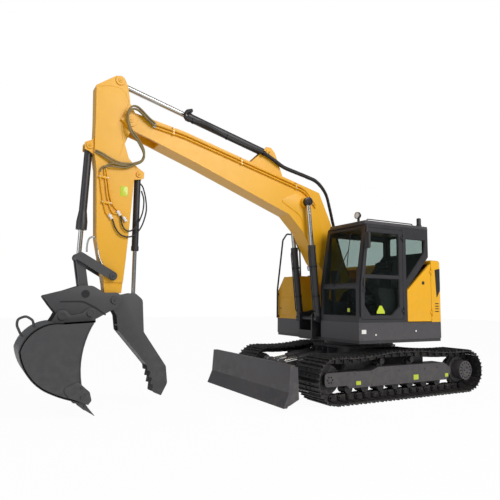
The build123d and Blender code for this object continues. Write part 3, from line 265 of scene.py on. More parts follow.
# %% Tinted glass
LEAST_MIRROR, SMEAR_MIRROR, SMEAR_CELLS = 0.05, 0.06, 3.0  # shares of mirror, and smears to the metre
tinted_glass, shader = new_material("tempered_glass")
shader.inputs["Base Color"].default_value = linear("#26302D")
shader.inputs["Roughness"].default_value = 0.03
clear = add_node(tinted_glass, "ShaderNodeBsdfTransparent", {"Color": linear("#DFE6E4")})
where = add_node(tinted_glass, "ShaderNodeTexCoord").outputs["Object"]
smear = add_node(tinted_glass, "ShaderNodeTexNoise", {"Vector": where, "Scale": SMEAR_CELLS, "Detail": 2.0})
facing = add_node(tinted_glass, "ShaderNodeFresnel", {"IOR": 1.5})
share = add_node(tinted_glass, "ShaderNodeMath", {0: facing.outputs[0], 1: LEAST_MIRROR}, operation="ADD")
smeared = add_node(tinted_glass, "ShaderNodeMath",
                   {0: smear.outputs["Fac"], 1: SMEAR_MIRROR, 2: share.outputs[0]}, operation="MULTIPLY_ADD")
face = add_node(tinted_glass, "ShaderNodeNewGeometry")
front = add_node(tinted_glass, "ShaderNodeMath", {0: 1.0, 1: face.outputs["Backfacing"]}, operation="SUBTRACT")
outer_only = add_node(tinted_glass, "ShaderNodeMath", {0: smeared.outputs[0], 1: front.outputs[0]},
                      operation="MULTIPLY")
pane = add_node(tinted_glass, "ShaderNodeMixShader",
                {0: outer_only.outputs[0], 1: clear.outputs[0], 2: shader.outputs[0]})
join(tinted_glass, pane.outputs[0], surface_of(tinted_glass))
print("glass: IOR", facing.inputs["IOR"].default_value)

# %% [markdown]
# ## Plastic, rubber and cloth
# Trim in the cab is moulded plastic with a leather grain of about 1.5 mm, the seat is covered in woven cloth with
# threads of about 2 mm, drawn coarser than life so that they show, and hoses have a wrapped rubber cover, under a
# braided sleeve where they cross the boom's tip. All are one idea: cells of a known size that sink, with painted
# shade in their sunken middles.

# %% Moulded and woven finishes
def grained(name, colour, roughness, grain_mm, depth, second=None):
    """A moulded or woven face: cells of the given size in the bump, with painted shade in their sunken middles.

    The distance from a cell's middle mixes the first colour, at the sunken middle, to the second, at the raised edge,
    and drives a bump a third of a grain deep. Every call gives the darker colour first, so the painted shade follows
    the bump.
    """
    material, shader = new_material(name)
    where = add_node(material, "ShaderNodeTexCoord").outputs["Object"]
    cells = add_node(material, "ShaderNodeTexVoronoi", {"Vector": where, "Scale": 1000.0 / grain_mm})
    # Painted shade: the darker first colour sits at each cell's sunken middle, where the bump is lowest.
    tone = add_node(material, "ShaderNodeMix", {6: linear(colour), 7: linear(second or colour)}, data_type="RGBA")
    join(material, cells.outputs["Distance"], tone.inputs[0])
    join(material, tone.outputs[2], shader.inputs["Base Color"])
    bump = add_node(material, "ShaderNodeBump",
                    {"Height": cells.outputs["Distance"], "Strength": depth, "Distance": grain_mm / 3000.0})
    join(material, bump.outputs["Normal"], shader.inputs["Normal"])
    shader.inputs["Roughness"].default_value = roughness
    return material


moulded_black = grained("moulded_polypropylene", "#1D1D20", 0.55, 1.5, 0.25, "#2A2A2E")
seat_cloth = grained("woven_polyester", "#202024", 0.9, 2.2, 0.6, "#34343A")
hose_rubber = grained("wrapped_rubber", "#1B1B1D", 0.6, 3.0, 0.3, "#2B2B2D")
hose_sleeve = grained("braided_nylon_sleeve", "#6F6145", 0.7, 3.0, 0.4, "#9A875A")
cast_iron = grained("painted_casting", "#3B3C3F", 0.65, 4.0, 0.4, "#4A4A4C")
print("grained finishes: cells of 1.5 to 4 mm")

# %% [markdown]
# ## Films, plating and lenses
# Signs are blank reflective film on thin sheet: one lime, one white. Fittings are zinc plated and passivated, which
# leaves a soft grey sheen. Lenses are clear moulded acrylic over a bright dish. None has a grain that shows from
# here, so one plain finish with a slow wander in its gloss serves them all.


# %% Small finishes
def plain(name, colour, roughness, metallic=0.0, coat=0.0, speckle=0.04):
    """A smooth finish of one colour, whose roughness wanders by the speckle with a noise of about 8 mm.

    The same noise takes the colour down to 80% of its light.
    """
    material, shader = new_material(name)
    where = add_node(material, "ShaderNodeTexCoord").outputs["Object"]
    wander = add_node(material, "ShaderNodeTexNoise", {"Vector": where, "Scale": 120.0, "Detail": 3.0})
    rough = add_node(material, "ShaderNodeMapRange", {"Value": wander.outputs["Fac"], "To Min": roughness - speckle,
                                                      "To Max": roughness + speckle})
    join(material, rough.outputs["Result"], shader.inputs["Roughness"])
    tone = add_node(material, "ShaderNodeMix",
                    {0: wander.outputs["Fac"], 6: linear(colour), 7: darker(linear(colour), 0.8)}, data_type="RGBA")
    join(material, tone.outputs[2], shader.inputs["Base Color"])
    shader.inputs["Metallic"].default_value = metallic
    shader.inputs["Coat Weight"].default_value = coat
    return material


lime_film = plain("lime_reflective_film", "#C9DB2A", 0.35, coat=0.4)
white_film = plain("white_reflective_film", "#EDEDEA", 0.35, coat=0.4)
zinc_steel = plain("zinc_plated_steel", "#B9BAB8", 0.32, metallic=0.9)
dark_steel = plain("blackened_steel", "#2E2D31", 0.42, metallic=0.6)
# Black rubber, also used as painted shade: the coupler's slots and the louvres are dark strips of it that stand for
# shadow.
rubber_and_painted_shade = plain("extruded_rubber_and_painted_shade", "#141416", 0.62)
lamp_lens = plain("clear_lens", "#E9EDF2", 0.12, coat=1.0, speckle=0.02)
mirror_glass = plain("silvered_glass", "#C6CCCE", 0.06, metallic=1.0, speckle=0.02)
screen_glass = plain("display_glass", "#10151A", 0.12, coat=1.0, speckle=0.02)
print("finishes", len(bpy.data.materials))

# %% [markdown]
# ## Which node has which finish
# A CAD node comes with a flat colour. It keeps its shape and gets one finish, in its first slot. A table from finish
# to nodes shows the whole machine at a glance, and the script stops if a node is left out of it.

# %% Finish of each node
FINISHES = {
    yellow_enamel: "engine_housing engine_hood service_door_left tank_housing service_door_right boom arm".split(),
    charcoal_enamel: ("track_frame_left track_frame_right final_drive_left final_drive_right lower_frame slew_ring "
                      "tow_eye skirt counterweight cab_roof blade").split(),
    cab_enamel: ["cab_frame", "cab_door", "guard_rail"],
    black_enamel: ("revolving_frame boom_cylinder_barrels arm_cylinder_barrel bucket_cylinder_barrel "
                   "thumb_cylinder_barrel blade_cylinder_barrels").split(),
    tool_enamel: "bucket coupler thumb side_links h_link".split(),
    track_steel: "track_left track_right rollers_left rollers_right idler_left idler_right".split(),
    rod_chrome: ("boom_cylinder_rods arm_cylinder_rod bucket_cylinder_rod thumb_cylinder_rod "
                 "blade_cylinder_rods").split(),
    tinted_glass: ["cab_glass", "door_glass"],
    moulded_black: ["console"],
    seat_cloth: ["seat"],
    cast_iron: ["engine_block"],
}
dressed = set()
for material, names in FINISHES.items():
    for name in names:
        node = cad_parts[name]
        node.data.materials.clear()
        node.data.materials.append(material)
        dressed.add(name)
assert dressed == set(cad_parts), set(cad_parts) - dressed
print("dressed", len(dressed), "nodes")

# %% [markdown]
# ## From arrays to pieces
# Each shape below is worked out as a whole array of points, in millimetres from the slew axis. Blender's own
# modelling operators would need a scene in the right state for every step, while arrays only need a formula. One
# function puts points and faces into a mesh, one rounds its edges, and one gives it a finish and a body to ride on.

# %% Meshes and pieces
LEFT, RIGHT, FORWARD, BACK, UP = (0, 1, 0), (0, -1, 0), (1, 0, 0), (-1, 0, 0), (0, 0, 1)
SIDES = (("left", 1), ("right", -1))


def unit(vectors):
    """Each vector divided by its length."""
    vectors = np.asarray(vectors, float)
    return vectors / np.linalg.norm(vectors, axis=-1, keepdims=True)


def faced_mesh(name, points, corners, sizes):
    """A mesh of points, with the corner numbers of all its faces in a row and the size of each face.

    A face's first corner stands at the sum of the sizes before it.
    """
    mesh = bpy.data.meshes.new(name)
    mesh.vertices.add(len(points))
    mesh.vertices.foreach_set("co", place(points).ravel())
    mesh.loops.add(len(corners))
    mesh.loops.foreach_set("vertex_index", corners)
    mesh.polygons.add(len(sizes))
    mesh.polygons.foreach_set("loop_start", np.cumsum(sizes) - sizes)
    mesh.update(calc_edges=True)
    return mesh


def round_edges(mesh, width, least_turn=None):
    """Rounds by a width in mm all edges, or those whose faces turn by more than an angle in radians."""
    shape = bmesh.new()
    shape.from_mesh(mesh)
    edges = shape.edges[:] if least_turn is None else [
        e for e in shape.edges if len(e.link_faces) == 2 and e.calc_face_angle(0) > least_turn]
    bmesh.ops.bevel(shape, geom=edges, offset=width / 1000, segments=2, profile=0.6, affect="EDGES",
                    clamp_overlap=least_turn is not None)
    shape.to_mesh(mesh)
    shape.free()


def add_piece(name, mesh, material, body, sharp=35):
    """Links a mesh as a piece with one material, smooth but for edges sharper than an angle, riding on a body.

    A body may also be (one, other, start, end): the piece then rides on no body and keeps its place.
    """
    mesh.materials.append(material)
    mesh.polygons.foreach_set("use_smooth", np.ones(len(mesh.polygons), bool))
    mesh.set_sharp_from_angle(angle=math.radians(sharp))
    piece = bpy.data.objects.new(name, mesh)
    bpy.context.scene.collection.objects.link(piece)
    if isinstance(body, tuple):
        place(body[2])
        place(body[3])
        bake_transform(piece)
    else:
        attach(piece, body)
    return piece


# %% [markdown]
# ## Plates
# Shoes, bucket walls, ears and coupler plates are cut from thick plate, so each is an outline seen from the side that
# runs along Y. A cutter's corners are never quite sharp: a quadratic curve rounds each by its own radius. Many equal
# plates go into one piece, because they are one kind of part.


# %% Plates
def eased(corners, steps=4):
    """Closed outline from (x, z, radius) corners, each rounded by a quadratic curve.

    The curve starts radius times the tangent of half the corner's turn before the corner, or 45% of the shorter edge
    if that is less, and p(t) = (1 - t)^2 before + 2 t (1 - t) corner + t^2 after.
    """
    corners = np.asarray(corners, float)
    spot, radius = corners[:, :2], corners[:, 2:]
    to_last, to_next = np.roll(spot, 1, 0) - spot, np.roll(spot, -1, 0) - spot
    short = np.minimum(np.linalg.norm(to_last, axis=1), np.linalg.norm(to_next, axis=1))[:, None]
    half_turn = (np.pi - np.arccos(np.clip((unit(to_last) * unit(to_next)).sum(1), -1, 1)))[:, None] / 2
    back = np.minimum(radius * np.tan(half_turn), 0.45 * short) + 0.01
    before, after = spot + unit(to_last) * back, spot + unit(to_next) * back
    t = np.linspace(0, 1, steps)[None, :, None]
    return ((1 - t) ** 2 * before[:, None] + 2 * t * (1 - t) * spot[:, None] + t ** 2 * after[:, None]).reshape(-1, 2)


def prisms(name, outlines, low, high, material, body, bevel=0.0, sharp=30):
    """Closed (x, z) outlines of one count of points, each run along Y from its low to its high, with flat ends.

    Outline k is numbered from 2 k n: its low ring, then its high ring. Side j joins points j and j + 1 of both rings.
    An outline whose signed area, half the sum of x z' - x' z, is below zero is read backwards, so that faces point
    outwards.
    """
    outlines = np.asarray(outlines, float)
    outlines = outlines[None] if outlines.ndim == 2 else outlines
    x, z = outlines[..., 0], outlines[..., 1]
    area = (x * np.roll(z, -1, 1) - z * np.roll(x, -1, 1)).sum(1)
    outlines = np.where(area[:, None, None] < 0, outlines[:, ::-1], outlines)
    count, points = outlines.shape[:2]
    solid = np.empty((count, 2, points, 3))
    solid[..., 0], solid[..., 2] = outlines[:, None, :, 0], outlines[:, None, :, 1]
    solid[..., 1] = np.stack([np.broadcast_to(low, count), np.broadcast_to(high, count)], -1)[..., None]
    number = np.arange(count * 2 * points).reshape(count, 2, points)
    onward = np.roll(number, -1, 2)
    sides = np.stack([number[:, 0], number[:, 1], onward[:, 1], onward[:, 0]], -1).reshape(-1)
    ends = np.concatenate([number[:, 0], number[:, 1, ::-1]]).reshape(-1)
    sizes = np.repeat((4, points), (count * points, 2 * count))
    mesh = faced_mesh(name, solid.reshape(-1, 3), np.concatenate([sides, ends]), sizes)
    if bevel:
        round_edges(mesh, bevel, least_turn=0.6)
    return add_piece(name, mesh, material, body, sharp)


print("plates: 4 steps round each corner")

# %% [markdown]
# ## Turned parts
# Pins, caps, collars, lamps and bolts' heads come off a lathe or look as if they did, so each is a profile of
# distance and radius carried round an axis. The same grid of rows and columns later carries tubes and louvres.


# %% Turned parts
def grid_piece(name, surfaces, material, body, sharp=35, close_rows=False):
    """Joins surfaces, each a grid of rows of points round a closed ring, into one mesh.

    Row r and column c have the four corners (r, c), (r, c + 1), (r + 1, c + 1) and (r + 1, c), and the columns, and
    where asked the rows, start again after the last one.
    """
    count, rows, columns = surfaces.shape[:3]
    number = np.arange(count * rows * columns).reshape(count, rows, columns)
    row = np.arange(rows if close_rows else rows - 1)[:, None]
    column = np.arange(columns)[None, :]
    corners = [number[:, (row + down) % rows, (column + along) % columns]
               for down, along in ((0, 0), (0, 1), (1, 1), (1, 0))]
    faces = np.stack(corners, axis=-1).reshape(-1, 4)
    mesh = faced_mesh(name, surfaces.reshape(-1, 3), faces.ravel(), np.full(len(faces), 4))
    return add_piece(name, mesh, material, body, sharp)


def turned(name, profile, starts, toward, material, body, sides=24, sharp=35):
    """A profile of (distance, radius) turned about an axis, repeated at each start.

    The point at distance d and angle a is start + axis times d + radius times (first cos a + second sin a), where
    first and second are square to the axis.
    """
    starts = np.atleast_2d(np.asarray(starts, float))
    axis = np.broadcast_to(unit(toward), starts.shape)
    aside = np.where(np.abs(axis[:, 2:]) > 0.9, (1.0, 0.0, 0.0), (0.0, 0.0, 1.0))
    first = unit(np.cross(axis, aside))
    second = np.cross(axis, first)
    angle = np.linspace(0, 2 * np.pi, sides, endpoint=False)[None, :, None]
    ring = first[:, None] * np.cos(angle) + second[:, None] * np.sin(angle)
    distance, radius = np.asarray(profile, float).T[:, None, :, None, None]
    points = starts[:, None, None] + axis[:, None, None] * distance + ring[:, None] * radius
    return grid_piece(name, points, material, body, sharp)


print("turned parts: 24 sides unless a call says more")

# %% [markdown]
# ## The tracks' pitch line
# A track is a chain. Its pins lie on one closed line: straight along the ground, round the idler in front, sagging to
# the two carrier rollers on top, and round the sprocket behind. A hanging chain's sag is so slight that an arc
# through three points can't be told from it. The solids' tracks were made on the same line.


# %% Pitch line
def arc_through(first, middle, last, steps=12):
    """Points of the circle through three points, from the first to the last."""
    a, b, c = (np.asarray(p, float) for p in (first, middle, last))
    rows = 2 * np.array([b - a, c - a])
    centre = np.linalg.solve(rows, [b @ b - a @ a, c @ c - a @ a])
    turns = np.unwrap([np.arctan2(*(p - centre)[::-1]) for p in (a, b, c)])
    angle = np.linspace(turns[0], turns[2], steps)
    return centre + np.linalg.norm(a - centre) * np.stack([np.cos(angle), np.sin(angle)], -1)


PITCH, PITCH_RADIUS, WHEEL_Z, GROUND_RUN, TOP_RUN = 171.5, 284.0, 372.0, 88.0, 656.0
SPROCKET, IDLER, CARRIERS, LIFT = -1560.0, 1400.0, (305.0, -374.0), 46.0
CARRIER_Z = TOP_RUN + LIFT
SAGS = (((IDLER + CARRIERS[0]) / 2, TOP_RUN + LIFT / 2 - 35.0),
        ((SPROCKET + CARRIERS[1]) / 2, TOP_RUN + LIFT / 2 - 25.0))
track_line = np.vstack([
    np.linspace((SPROCKET, GROUND_RUN), (IDLER, GROUND_RUN), 200)[:-1],
    arc_through((IDLER, GROUND_RUN), (IDLER + PITCH_RADIUS, WHEEL_Z), (IDLER, TOP_RUN), 200)[:-1],
    arc_through((IDLER, TOP_RUN), SAGS[0], (CARRIERS[0], CARRIER_Z), 100)[:-1],
    np.linspace((CARRIERS[0], CARRIER_Z), (CARRIERS[1], CARRIER_Z), 60)[:-1],
    arc_through((CARRIERS[1], CARRIER_Z), SAGS[1], (SPROCKET, TOP_RUN), 100)[:-1],
    arc_through((SPROCKET, TOP_RUN), (SPROCKET - PITCH_RADIUS, WHEEL_Z), (SPROCKET, GROUND_RUN), 200)])
reach = np.concatenate([[0], np.cumsum(np.linalg.norm(np.diff(track_line, axis=0), axis=1))])
shoe_count = round(reach[-1] / PITCH)
along_track = np.arange(shoe_count) / shoe_count * reach[-1]
pins = np.stack([np.interp(along_track, reach, track_line[:, 0]), np.interp(along_track, reach, track_line[:, 1])], -1)
pin_step = np.roll(pins, -1, 0) - pins
pin_out = unit(np.stack([pin_step[:, 1], -pin_step[:, 0]], -1))
print("shoes", shoe_count, "pitch", round(reach[-1] / shoe_count, 2))

# %% [markdown]
# ## Shoes and links
# Each shoe is one rolled plate with three grousers and lips that overlap the next shoe, bolted on two forged links.
# A copy of one shoe could be moved by an array modifier along a curve, but it would slide off the pins. Here the
# outlines take the pitch as 1 along the track and millimetres out of the chain, and one function lays them between
# each two pins, so every joint is closed. The two pieces with the shoes stand for the plain tracks of the solids.


# %% Shoes and links
def on_links(profile):
    """(share of pitch, height) points laid on each link: pin + step times share + outward times height."""
    share, height = np.asarray(profile, float).T[:, None, :, None]
    return pins[:, None] + pin_step[:, None] * share + pin_out[:, None] * height


TRACK_MIDDLE, SHOE_HALF, FRAME_FACE, DRIVE_FACE = 995, 300, 1125, 1220
SHOE = ((-0.175, 37), (-0.175, 42), (-0.06, 47), (-0.01, 50), (0.012, 57), (0.04, 86), (0.055, 88), (0.10, 88),
        (0.14, 64), (0.45, 64), (0.485, 88), (0.525, 88), (0.56, 64), (0.86, 64), (0.895, 88), (0.945, 88), (0.96, 86),
        (0.975, 67), (1.04, 63), (1.04, 58), (0.985, 52), (0.02, 50), (0.0, 43))
LINK = np.array(((-0.13, 14), (-0.15, -4), (-0.13, -24), (-0.06, -36), (0.06, -44), (0.64, -44), (0.64, 50), (0.1, 50),
                 (0.06, 34), (-0.06, 30)))
TWIN = np.stack([1 - LINK[:, 0], LINK[:, 1]], -1)
for side, sign in SIDES:
    middle = sign * TRACK_MIDDLE
    shoes = prisms(f"track_shoes_{side}", on_links(SHOE), middle - SHOE_HALF, middle + SHOE_HALF, track_steel,
                   "chassis", sharp=20)
    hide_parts(f"track_{side}")
    for row, low in (("inner", middle - 75), ("outer", middle + 35)):
        prisms(f"links_{row}_{side}", on_links(LINK), low, low + 19.5, track_steel, "chassis")
        prisms(f"twin_links_{row}_{side}", on_links(TWIN), low + 20.5, low + 40, track_steel, "chassis")
print("links", 8 * shoe_count)

# %% [markdown]
# ## Sprocket teeth, chain pins and shoe bolts
# The sprocket's ring has 21 teeth that reach between the links' pins. A tooth is drawn once, pointing forward, and
# turned into place. Pins and bolts repeat dozens of times, so they keep a few faces each.

# %% Sprocket, chain pins and shoe bolts
TEETH = 21
TOOTH = np.array(((212, -40), (270, -36), (290, -24), (290, 24), (270, 36), (212, 40)), float)
tooth_turn = np.arange(TEETH) * 2 * np.pi / TEETH
tooth_out = np.stack([np.cos(tooth_turn), np.sin(tooth_turn)], -1)[:, None]
tooth_aside = np.stack([-np.sin(tooth_turn), np.cos(tooth_turn)], -1)[:, None]
teeth = np.array((SPROCKET, WHEEL_Z)) + TOOTH[None, :, :1] * tooth_out + TOOTH[None, :, 1:] * tooth_aside
bolt_spots = on_links(((0.29, 64), (0.71, 64))).reshape(-1, 2)
bolt_out = np.insert(np.repeat(pin_out, 2, 0), 1, 0, axis=1)
for side, sign in SIDES:
    middle = sign * TRACK_MIDDLE
    prisms(f"sprocket_teeth_{side}", teeth, middle - 30, middle + 30, track_steel, "chassis", bevel=3)
    turned(f"chain_pins_{side}", ((0, 0), (0, 15), (4, 19), (146, 19), (150, 15), (150, 0)),
           np.insert(pins, 1, middle - 75, axis=1), LEFT, track_steel, "chassis", sides=14)
    turned(f"drive_cover_{side}", ((0, 0), (0, 90), (6, 90), (10, 84), (10, 0)), (SPROCKET, sign * DRIVE_FACE, WHEEL_Z),
           (0, sign, 0), charcoal_enamel, "chassis", sides=40)
    spots = np.concatenate([np.insert(bolt_spots, 1, middle + aside, axis=1) for aside in (-55, 55)])
    turned(f"shoe_bolts_{side}", ((-4, 0), (-4, 15), (9, 15), (11, 12), (11, 0)), spots, np.tile(bolt_out, (2, 1)),
           track_steel, "chassis", sides=6)
print("shoe bolts", 8 * shoe_count)

# %% [markdown]
# ## Tubes along a path
# Hoses, pipes, rails, rubber sections and weld beads are all a ring carried along a path. A curve object with a bevel
# would do, but its rings turn with the curve's own tilt, and as an array the same function can swell the ring and
# close its ends. A bent steel pipe has straight runs, so its corners alone are rounded.


# %% Tubes
def bent_path(points, radius, closed=False, steps=5):
    """Straight runs with each corner rounded by a quadratic curve that starts one radius before it.

    p(t) = (1 - t)^2 before + 2 t (1 - t) corner + t^2 after.
    """
    p = np.asarray(points, float)
    corners = p if closed else p[1:-1]
    before = corners + unit((np.roll(p, 1, 0) if closed else p[:-2]) - corners) * radius
    after = corners + unit((np.roll(p, -1, 0) if closed else p[2:]) - corners) * radius
    t = np.linspace(0, 1, steps)[None, :, None]
    arcs = (1 - t) ** 2 * before[:, None] + 2 * t * (1 - t) * corners[:, None] + t ** 2 * after[:, None]
    run = arcs.reshape(-1, 3)
    return run if closed else np.vstack([p[:1], run, p[-1:]])


def tube(name, path, radius, material, body, sides=12, closed=False, ripple=0.0, pitch=20.0, sharp=60):
    """A round tube along a path, whose ring axes turn no more than the path does.

    Each ring's first axis is the last one's, less its part along the path. At arc length s the radius is radius times
    (1 + ripple sin(2 pi s / pitch)). Open ends close to a point.
    """
    if closed:
        run = unit(np.roll(path, -1, 0) - np.roll(path, 1, 0))
    else:
        run = unit(np.gradient(path, axis=0))
    axis = unit(np.cross(run[0], (0.31, 0.88, 0.35)))
    first = np.empty_like(run)
    for i, direction in enumerate(run):
        axis = unit(axis - direction * (axis @ direction))
        first[i] = axis
    second = np.cross(run, first)
    length = np.concatenate([[0], np.cumsum(np.linalg.norm(np.diff(path, axis=0), axis=1))])
    size = radius * (1 + ripple * np.sin(2 * np.pi * length / pitch))
    angle = np.linspace(0, 2 * np.pi, sides, endpoint=False)[None, :, None]
    rings = path[:, None] + size[:, None, None] * (first[:, None] * np.cos(angle) + second[:, None] * np.sin(angle))
    if not closed:
        caps = np.broadcast_to(path[[0, -1], None], (2, sides, 3))
        rings = np.concatenate([caps[:1], rings, caps[1:]])
    return grid_piece(name, rings[None], material, body, sharp, close_rows=closed)


print("tubes: 12 sides unless a call says more")

# %% [markdown]
# ## The bucket's shell
# A digging bucket is one plate bent round the belly between two side walls. The belly is three arcs through measured
# points, and its inner face lies one plate thickness inside. The bent plate stands for the plain bucket of the
# solids. Rims stiffen the mouth, and a bead of weld runs where the walls meet the belly.

# %% Bucket's shell
DIG = -100.0  # the digging line lies this far to the machine's right
HALF_BUCKET, BUCKET_PLATE = 450, 24
LIP, BELLY_BEND, BACK_END, TOP_END = (4831, 182), (5368, 374), (5693, 891), (5166, 1246)
belly = np.vstack([[(4760, 1268)], arc_through(TOP_END, (5505, 1165), BACK_END)[:-1],
                   arc_through(BACK_END, (5585, 590), BELLY_BEND)[:-1], arc_through(BELLY_BEND, (5095, 249), LIP)])
mouth = np.vstack([arc_through(LIP, (4928, 640), (4811, 1175))[1:], [(4780, 1230)]])
slope = unit(np.gradient(belly, axis=0))
inward = np.stack([slope[:, 1], -slope[:, 0]], -1)


def side_span(sign, near, far):
    """Y of two distances from the digging line on one side of it, low end first."""
    return sorted((DIG + sign * near, DIG + sign * far))


bent_plate = np.vstack([belly, (belly + BUCKET_PLATE * inward)[::-1]])
shell = prisms("bucket_shell", bent_plate, DIG - HALF_BUCKET, DIG + HALF_BUCKET, tool_enamel, "bucket")
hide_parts("bucket")
for side, sign in SIDES:
    prisms(f"bucket_wall_{side}", np.vstack([belly, mouth]), *side_span(sign, 426, HALF_BUCKET), tool_enamel, "bucket")
    prisms(f"bucket_rim_{side}", np.vstack([mouth, mouth[::-1] + (16, 0)]), *side_span(sign, 418, 458), tool_enamel,
           "bucket")
    seam_route = np.insert(belly[1:] + 6 * inward[1:], 1, DIG + sign * HALF_BUCKET, axis=1)
    tube(f"bucket_seam_{side}", seam_route, 4, tool_enamel, "bucket", sides=8, ripple=0.25, pitch=9)
print("belly points", len(belly), "mouth points", len(mouth))

# %% [markdown]
# ## Ears, lip and teeth
# Two ears hold the pins that the coupler grips. The lip is a thick plate under the mouth, with side cutters bolted to
# the walls and five cast teeth pinned over it. A tooth is a row of four-cornered rings, full at the lip and flat at
# the tip, so that it tapers without a modelling step.

# %% Ears, lip and teeth
BUCKET_PINS = ((4778, 1366), (5160, 1326))
EAR = eased(((4710, 1240, 0), (4718, 1420, 45), (4800, 1440, 60), (4900, 1360, 60), (5050, 1330, 60), (5110, 1405, 60),
             (5210, 1405, 60), (5262, 1300, 60), (5330, 1190, 0), (5166, 1200, 0)))
CUTTER = eased(((4952, 470, 0), (4800, 330, 50), (4772, 215, 30), (4815, 165, 15), (5060, 270, 20), (5150, 390, 60)))
for side, sign in SIDES:
    prisms(f"bucket_ear_{side}", EAR, *side_span(sign, 185, 215), tool_enamel, "bucket", bevel=2.5)
    prisms(f"side_cutter_{side}", CUTTER, *side_span(sign, 449.7, 466), tool_enamel, "bucket", bevel=3)
    turned(f"bucket_pin_caps_{side}", ((0, 0), (0, 56), (14, 56), (17, 52), (17, 34), (11, 33), (11, 0)),
           [(x, DIG + sign * 215, z) for x, z in BUCKET_PINS], (0, sign, 0), tool_enamel, "bucket", 32)
turned("bucket_pins", ((0, 0), (0, 33), (430, 33), (430, 0)), [(x, DIG - 215, z) for x, z in BUCKET_PINS], LEFT,
       dark_steel, "bucket")
prisms("bucket_lip", ((4800, 160), (5010, 200), (5010, 238), (4845, 206)), DIG - 449, DIG + 449, tool_enamel, "bucket",
       bevel=3)
TOOTH_Y = np.array((-395, -198, 0, 198, 395), float)
TOOTH_ROOT, TOOTH_TIP = np.array((4925, DIG, 196)), np.array((4720, DIG, 9))
TOOTH_RINGS = np.array(((0, 0, 0), (0, 46, 38), (110, 43, 32), (128, 37, 25), (262, 26, 5), (277, 24, 4), (277, 0, 0)),
                       float)  # distance from the root, half width, half height
tooth_run = unit(TOOTH_TIP - TOOTH_ROOT)
tooth_rise = np.cross(tooth_run, LEFT)
along, half_width, half_height = TOOTH_RINGS.T[:, :, None, None]
tooth_shape = (TOOTH_ROOT + tooth_run * along + np.outer((-1, 1, 1, -1), LEFT) * half_width
               + np.outer((-1, -1, 1, 1), tooth_rise) * half_height)
rows_of_teeth = tooth_shape + TOOTH_Y[:, None, None, None] * np.array(LEFT)
grid_piece("bucket_teeth", rows_of_teeth, tool_enamel, "bucket", 25)
turned("tooth_pins", ((0, 0), (0, 9), (3, 8), (3, 0)), [(4868, DIG + y + 44, 144) for y in TOOTH_Y], LEFT, dark_steel,
       "bucket", sides=12)
EYE_ROUTE = np.array(((5480, 1140), (5500, 1265), (5590, 1322), (5690, 1282), (5700, 1200), (5630, 1050)), float)
tube("lifting_eye", bent_path(np.insert(EYE_ROUTE, 1, DIG, axis=1), 36), 17, tool_enamel, "bucket")
print("teeth", len(TOOTH_Y))

# %% [markdown]
# ## Coupler
# The quick coupler is two cheek plates with a long slot each, over two cast blocks that grip the bucket's pins. Each
# slot is painted shadow, a dark strip 2 mm thick and half sunk in the plate's outer face. A hole cut through would be
# truer, but from here only its shadow shows, and a cut leaves long thin faces. The cheeks stand for the solids' plain
# coupler.

# %% Coupler
COUPLER = eased(((4335, 1560, 60), (4416, 1440, 60), (4699, 1282, 90), (5150, 1258, 50), (5318, 1473, 0),
                 (5410, 1600, 25), (5120, 1680, 200), (4930, 1748, 90), (4760, 1748, 120), (4594, 1651, 120),
                 (4400, 1660, 70)), 6)
SLOT = eased(((4560, 1346, 5), (4700, 1446, 150), (4880, 1538, 250), (5190, 1528, 6), (5190, 1508, 6),
              (4890, 1514, 250), (4715, 1424, 150), (4575, 1328, 5)), 6)
CHEEK_OUT, CHEEK_IN = 179, 149
coupler_plates = prisms("coupler_plates", [COUPLER] * 2, (DIG - CHEEK_OUT, DIG + CHEEK_IN),
                        (DIG - CHEEK_IN, DIG + CHEEK_OUT), tool_enamel, "bucket", bevel=3)
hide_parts("coupler")
# Painted shadow: the slots are dark strips that stand for the shade inside them.
prisms("coupler_slot_shadows", [SLOT] * 2, (DIG - CHEEK_OUT - 1, DIG + CHEEK_OUT - 1),
       (DIG - CHEEK_OUT + 1, DIG + CHEEK_OUT + 1), rubber_and_painted_shade, "bucket")
for end, block in (("rear", ((4699, 1327), (4882, 1327), (4882, 1479), (4699, 1479))),
                   ("front", ((5034, 1398), (5186, 1398), (5338, 1591), (5085, 1641)))):
    prisms(f"coupler_block_{end}", block, DIG - CHEEK_IN, DIG + CHEEK_IN, tool_enamel, "bucket", bevel=4)
turned("coupler_link_pin", ((0, 0), (0, 55), (5, 55), (5, 36), (363, 36), (363, 55), (368, 55), (368, 0)),
       (4857, DIG - 184, 1631), LEFT, dark_steel, "bucket", sides=32)
print("coupler outline points", len(COUPLER))

# %% [markdown]
# ## Thumb
# The thumb is two plates with a serrated inner edge, joined by four webs, with bosses at its pins. Its teeth are
# corners of the outline itself, flame cut with the rest, so they need no pieces of their own. The plates stand for
# the plain thumb of the solids.

# %% Thumb
THUMB = eased(((4470, 1440, 30), (4400, 1330, 80), (4372, 1120, 40), (3919, 587, 60), (3912, 520, 4), (3868, 508, 4),
               (3884, 425, 4), (3842, 412, 4), (3858, 325, 4), (3818, 318, 4), (3826, 205, 20), (3703, 148, 15),
               (3610, 324, 90), (3638, 574, 60), (3993, 1085, 60), (4024, 1560, 90), (4150, 1664, 90), (4300, 1630, 40),
               (4517, 1640, 60), (4550, 1545, 60)))
WEBS = (((4354, 1102), (3933, 607), (3920, 619), (4341, 1114)), ((3654, 593), (3982, 1065), (3997, 1055), (3669, 583)),
        ((4006, 1176), (4372, 1180), (4372, 1200), (4008, 1196)), ((3664, 598), (3926, 600), (3926, 618), (3678, 616)))
PRONG_OUT, PRONG_IN = 142, 112
thumb_plates = prisms("thumb_plates", [THUMB] * 2, (DIG - PRONG_OUT, DIG + PRONG_IN), (DIG - PRONG_IN, DIG + PRONG_OUT),
                      tool_enamel, "thumb", bevel=3)
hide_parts("thumb")
prisms("thumb_webs", WEBS, DIG - PRONG_IN, DIG + PRONG_IN, tool_enamel, "thumb")
BOSSES = ((4135, 1584, 44, PRONG_IN - 67, 67), (4446, 1550, 52, PRONG_OUT, 5))  # x, z, radius, start, width
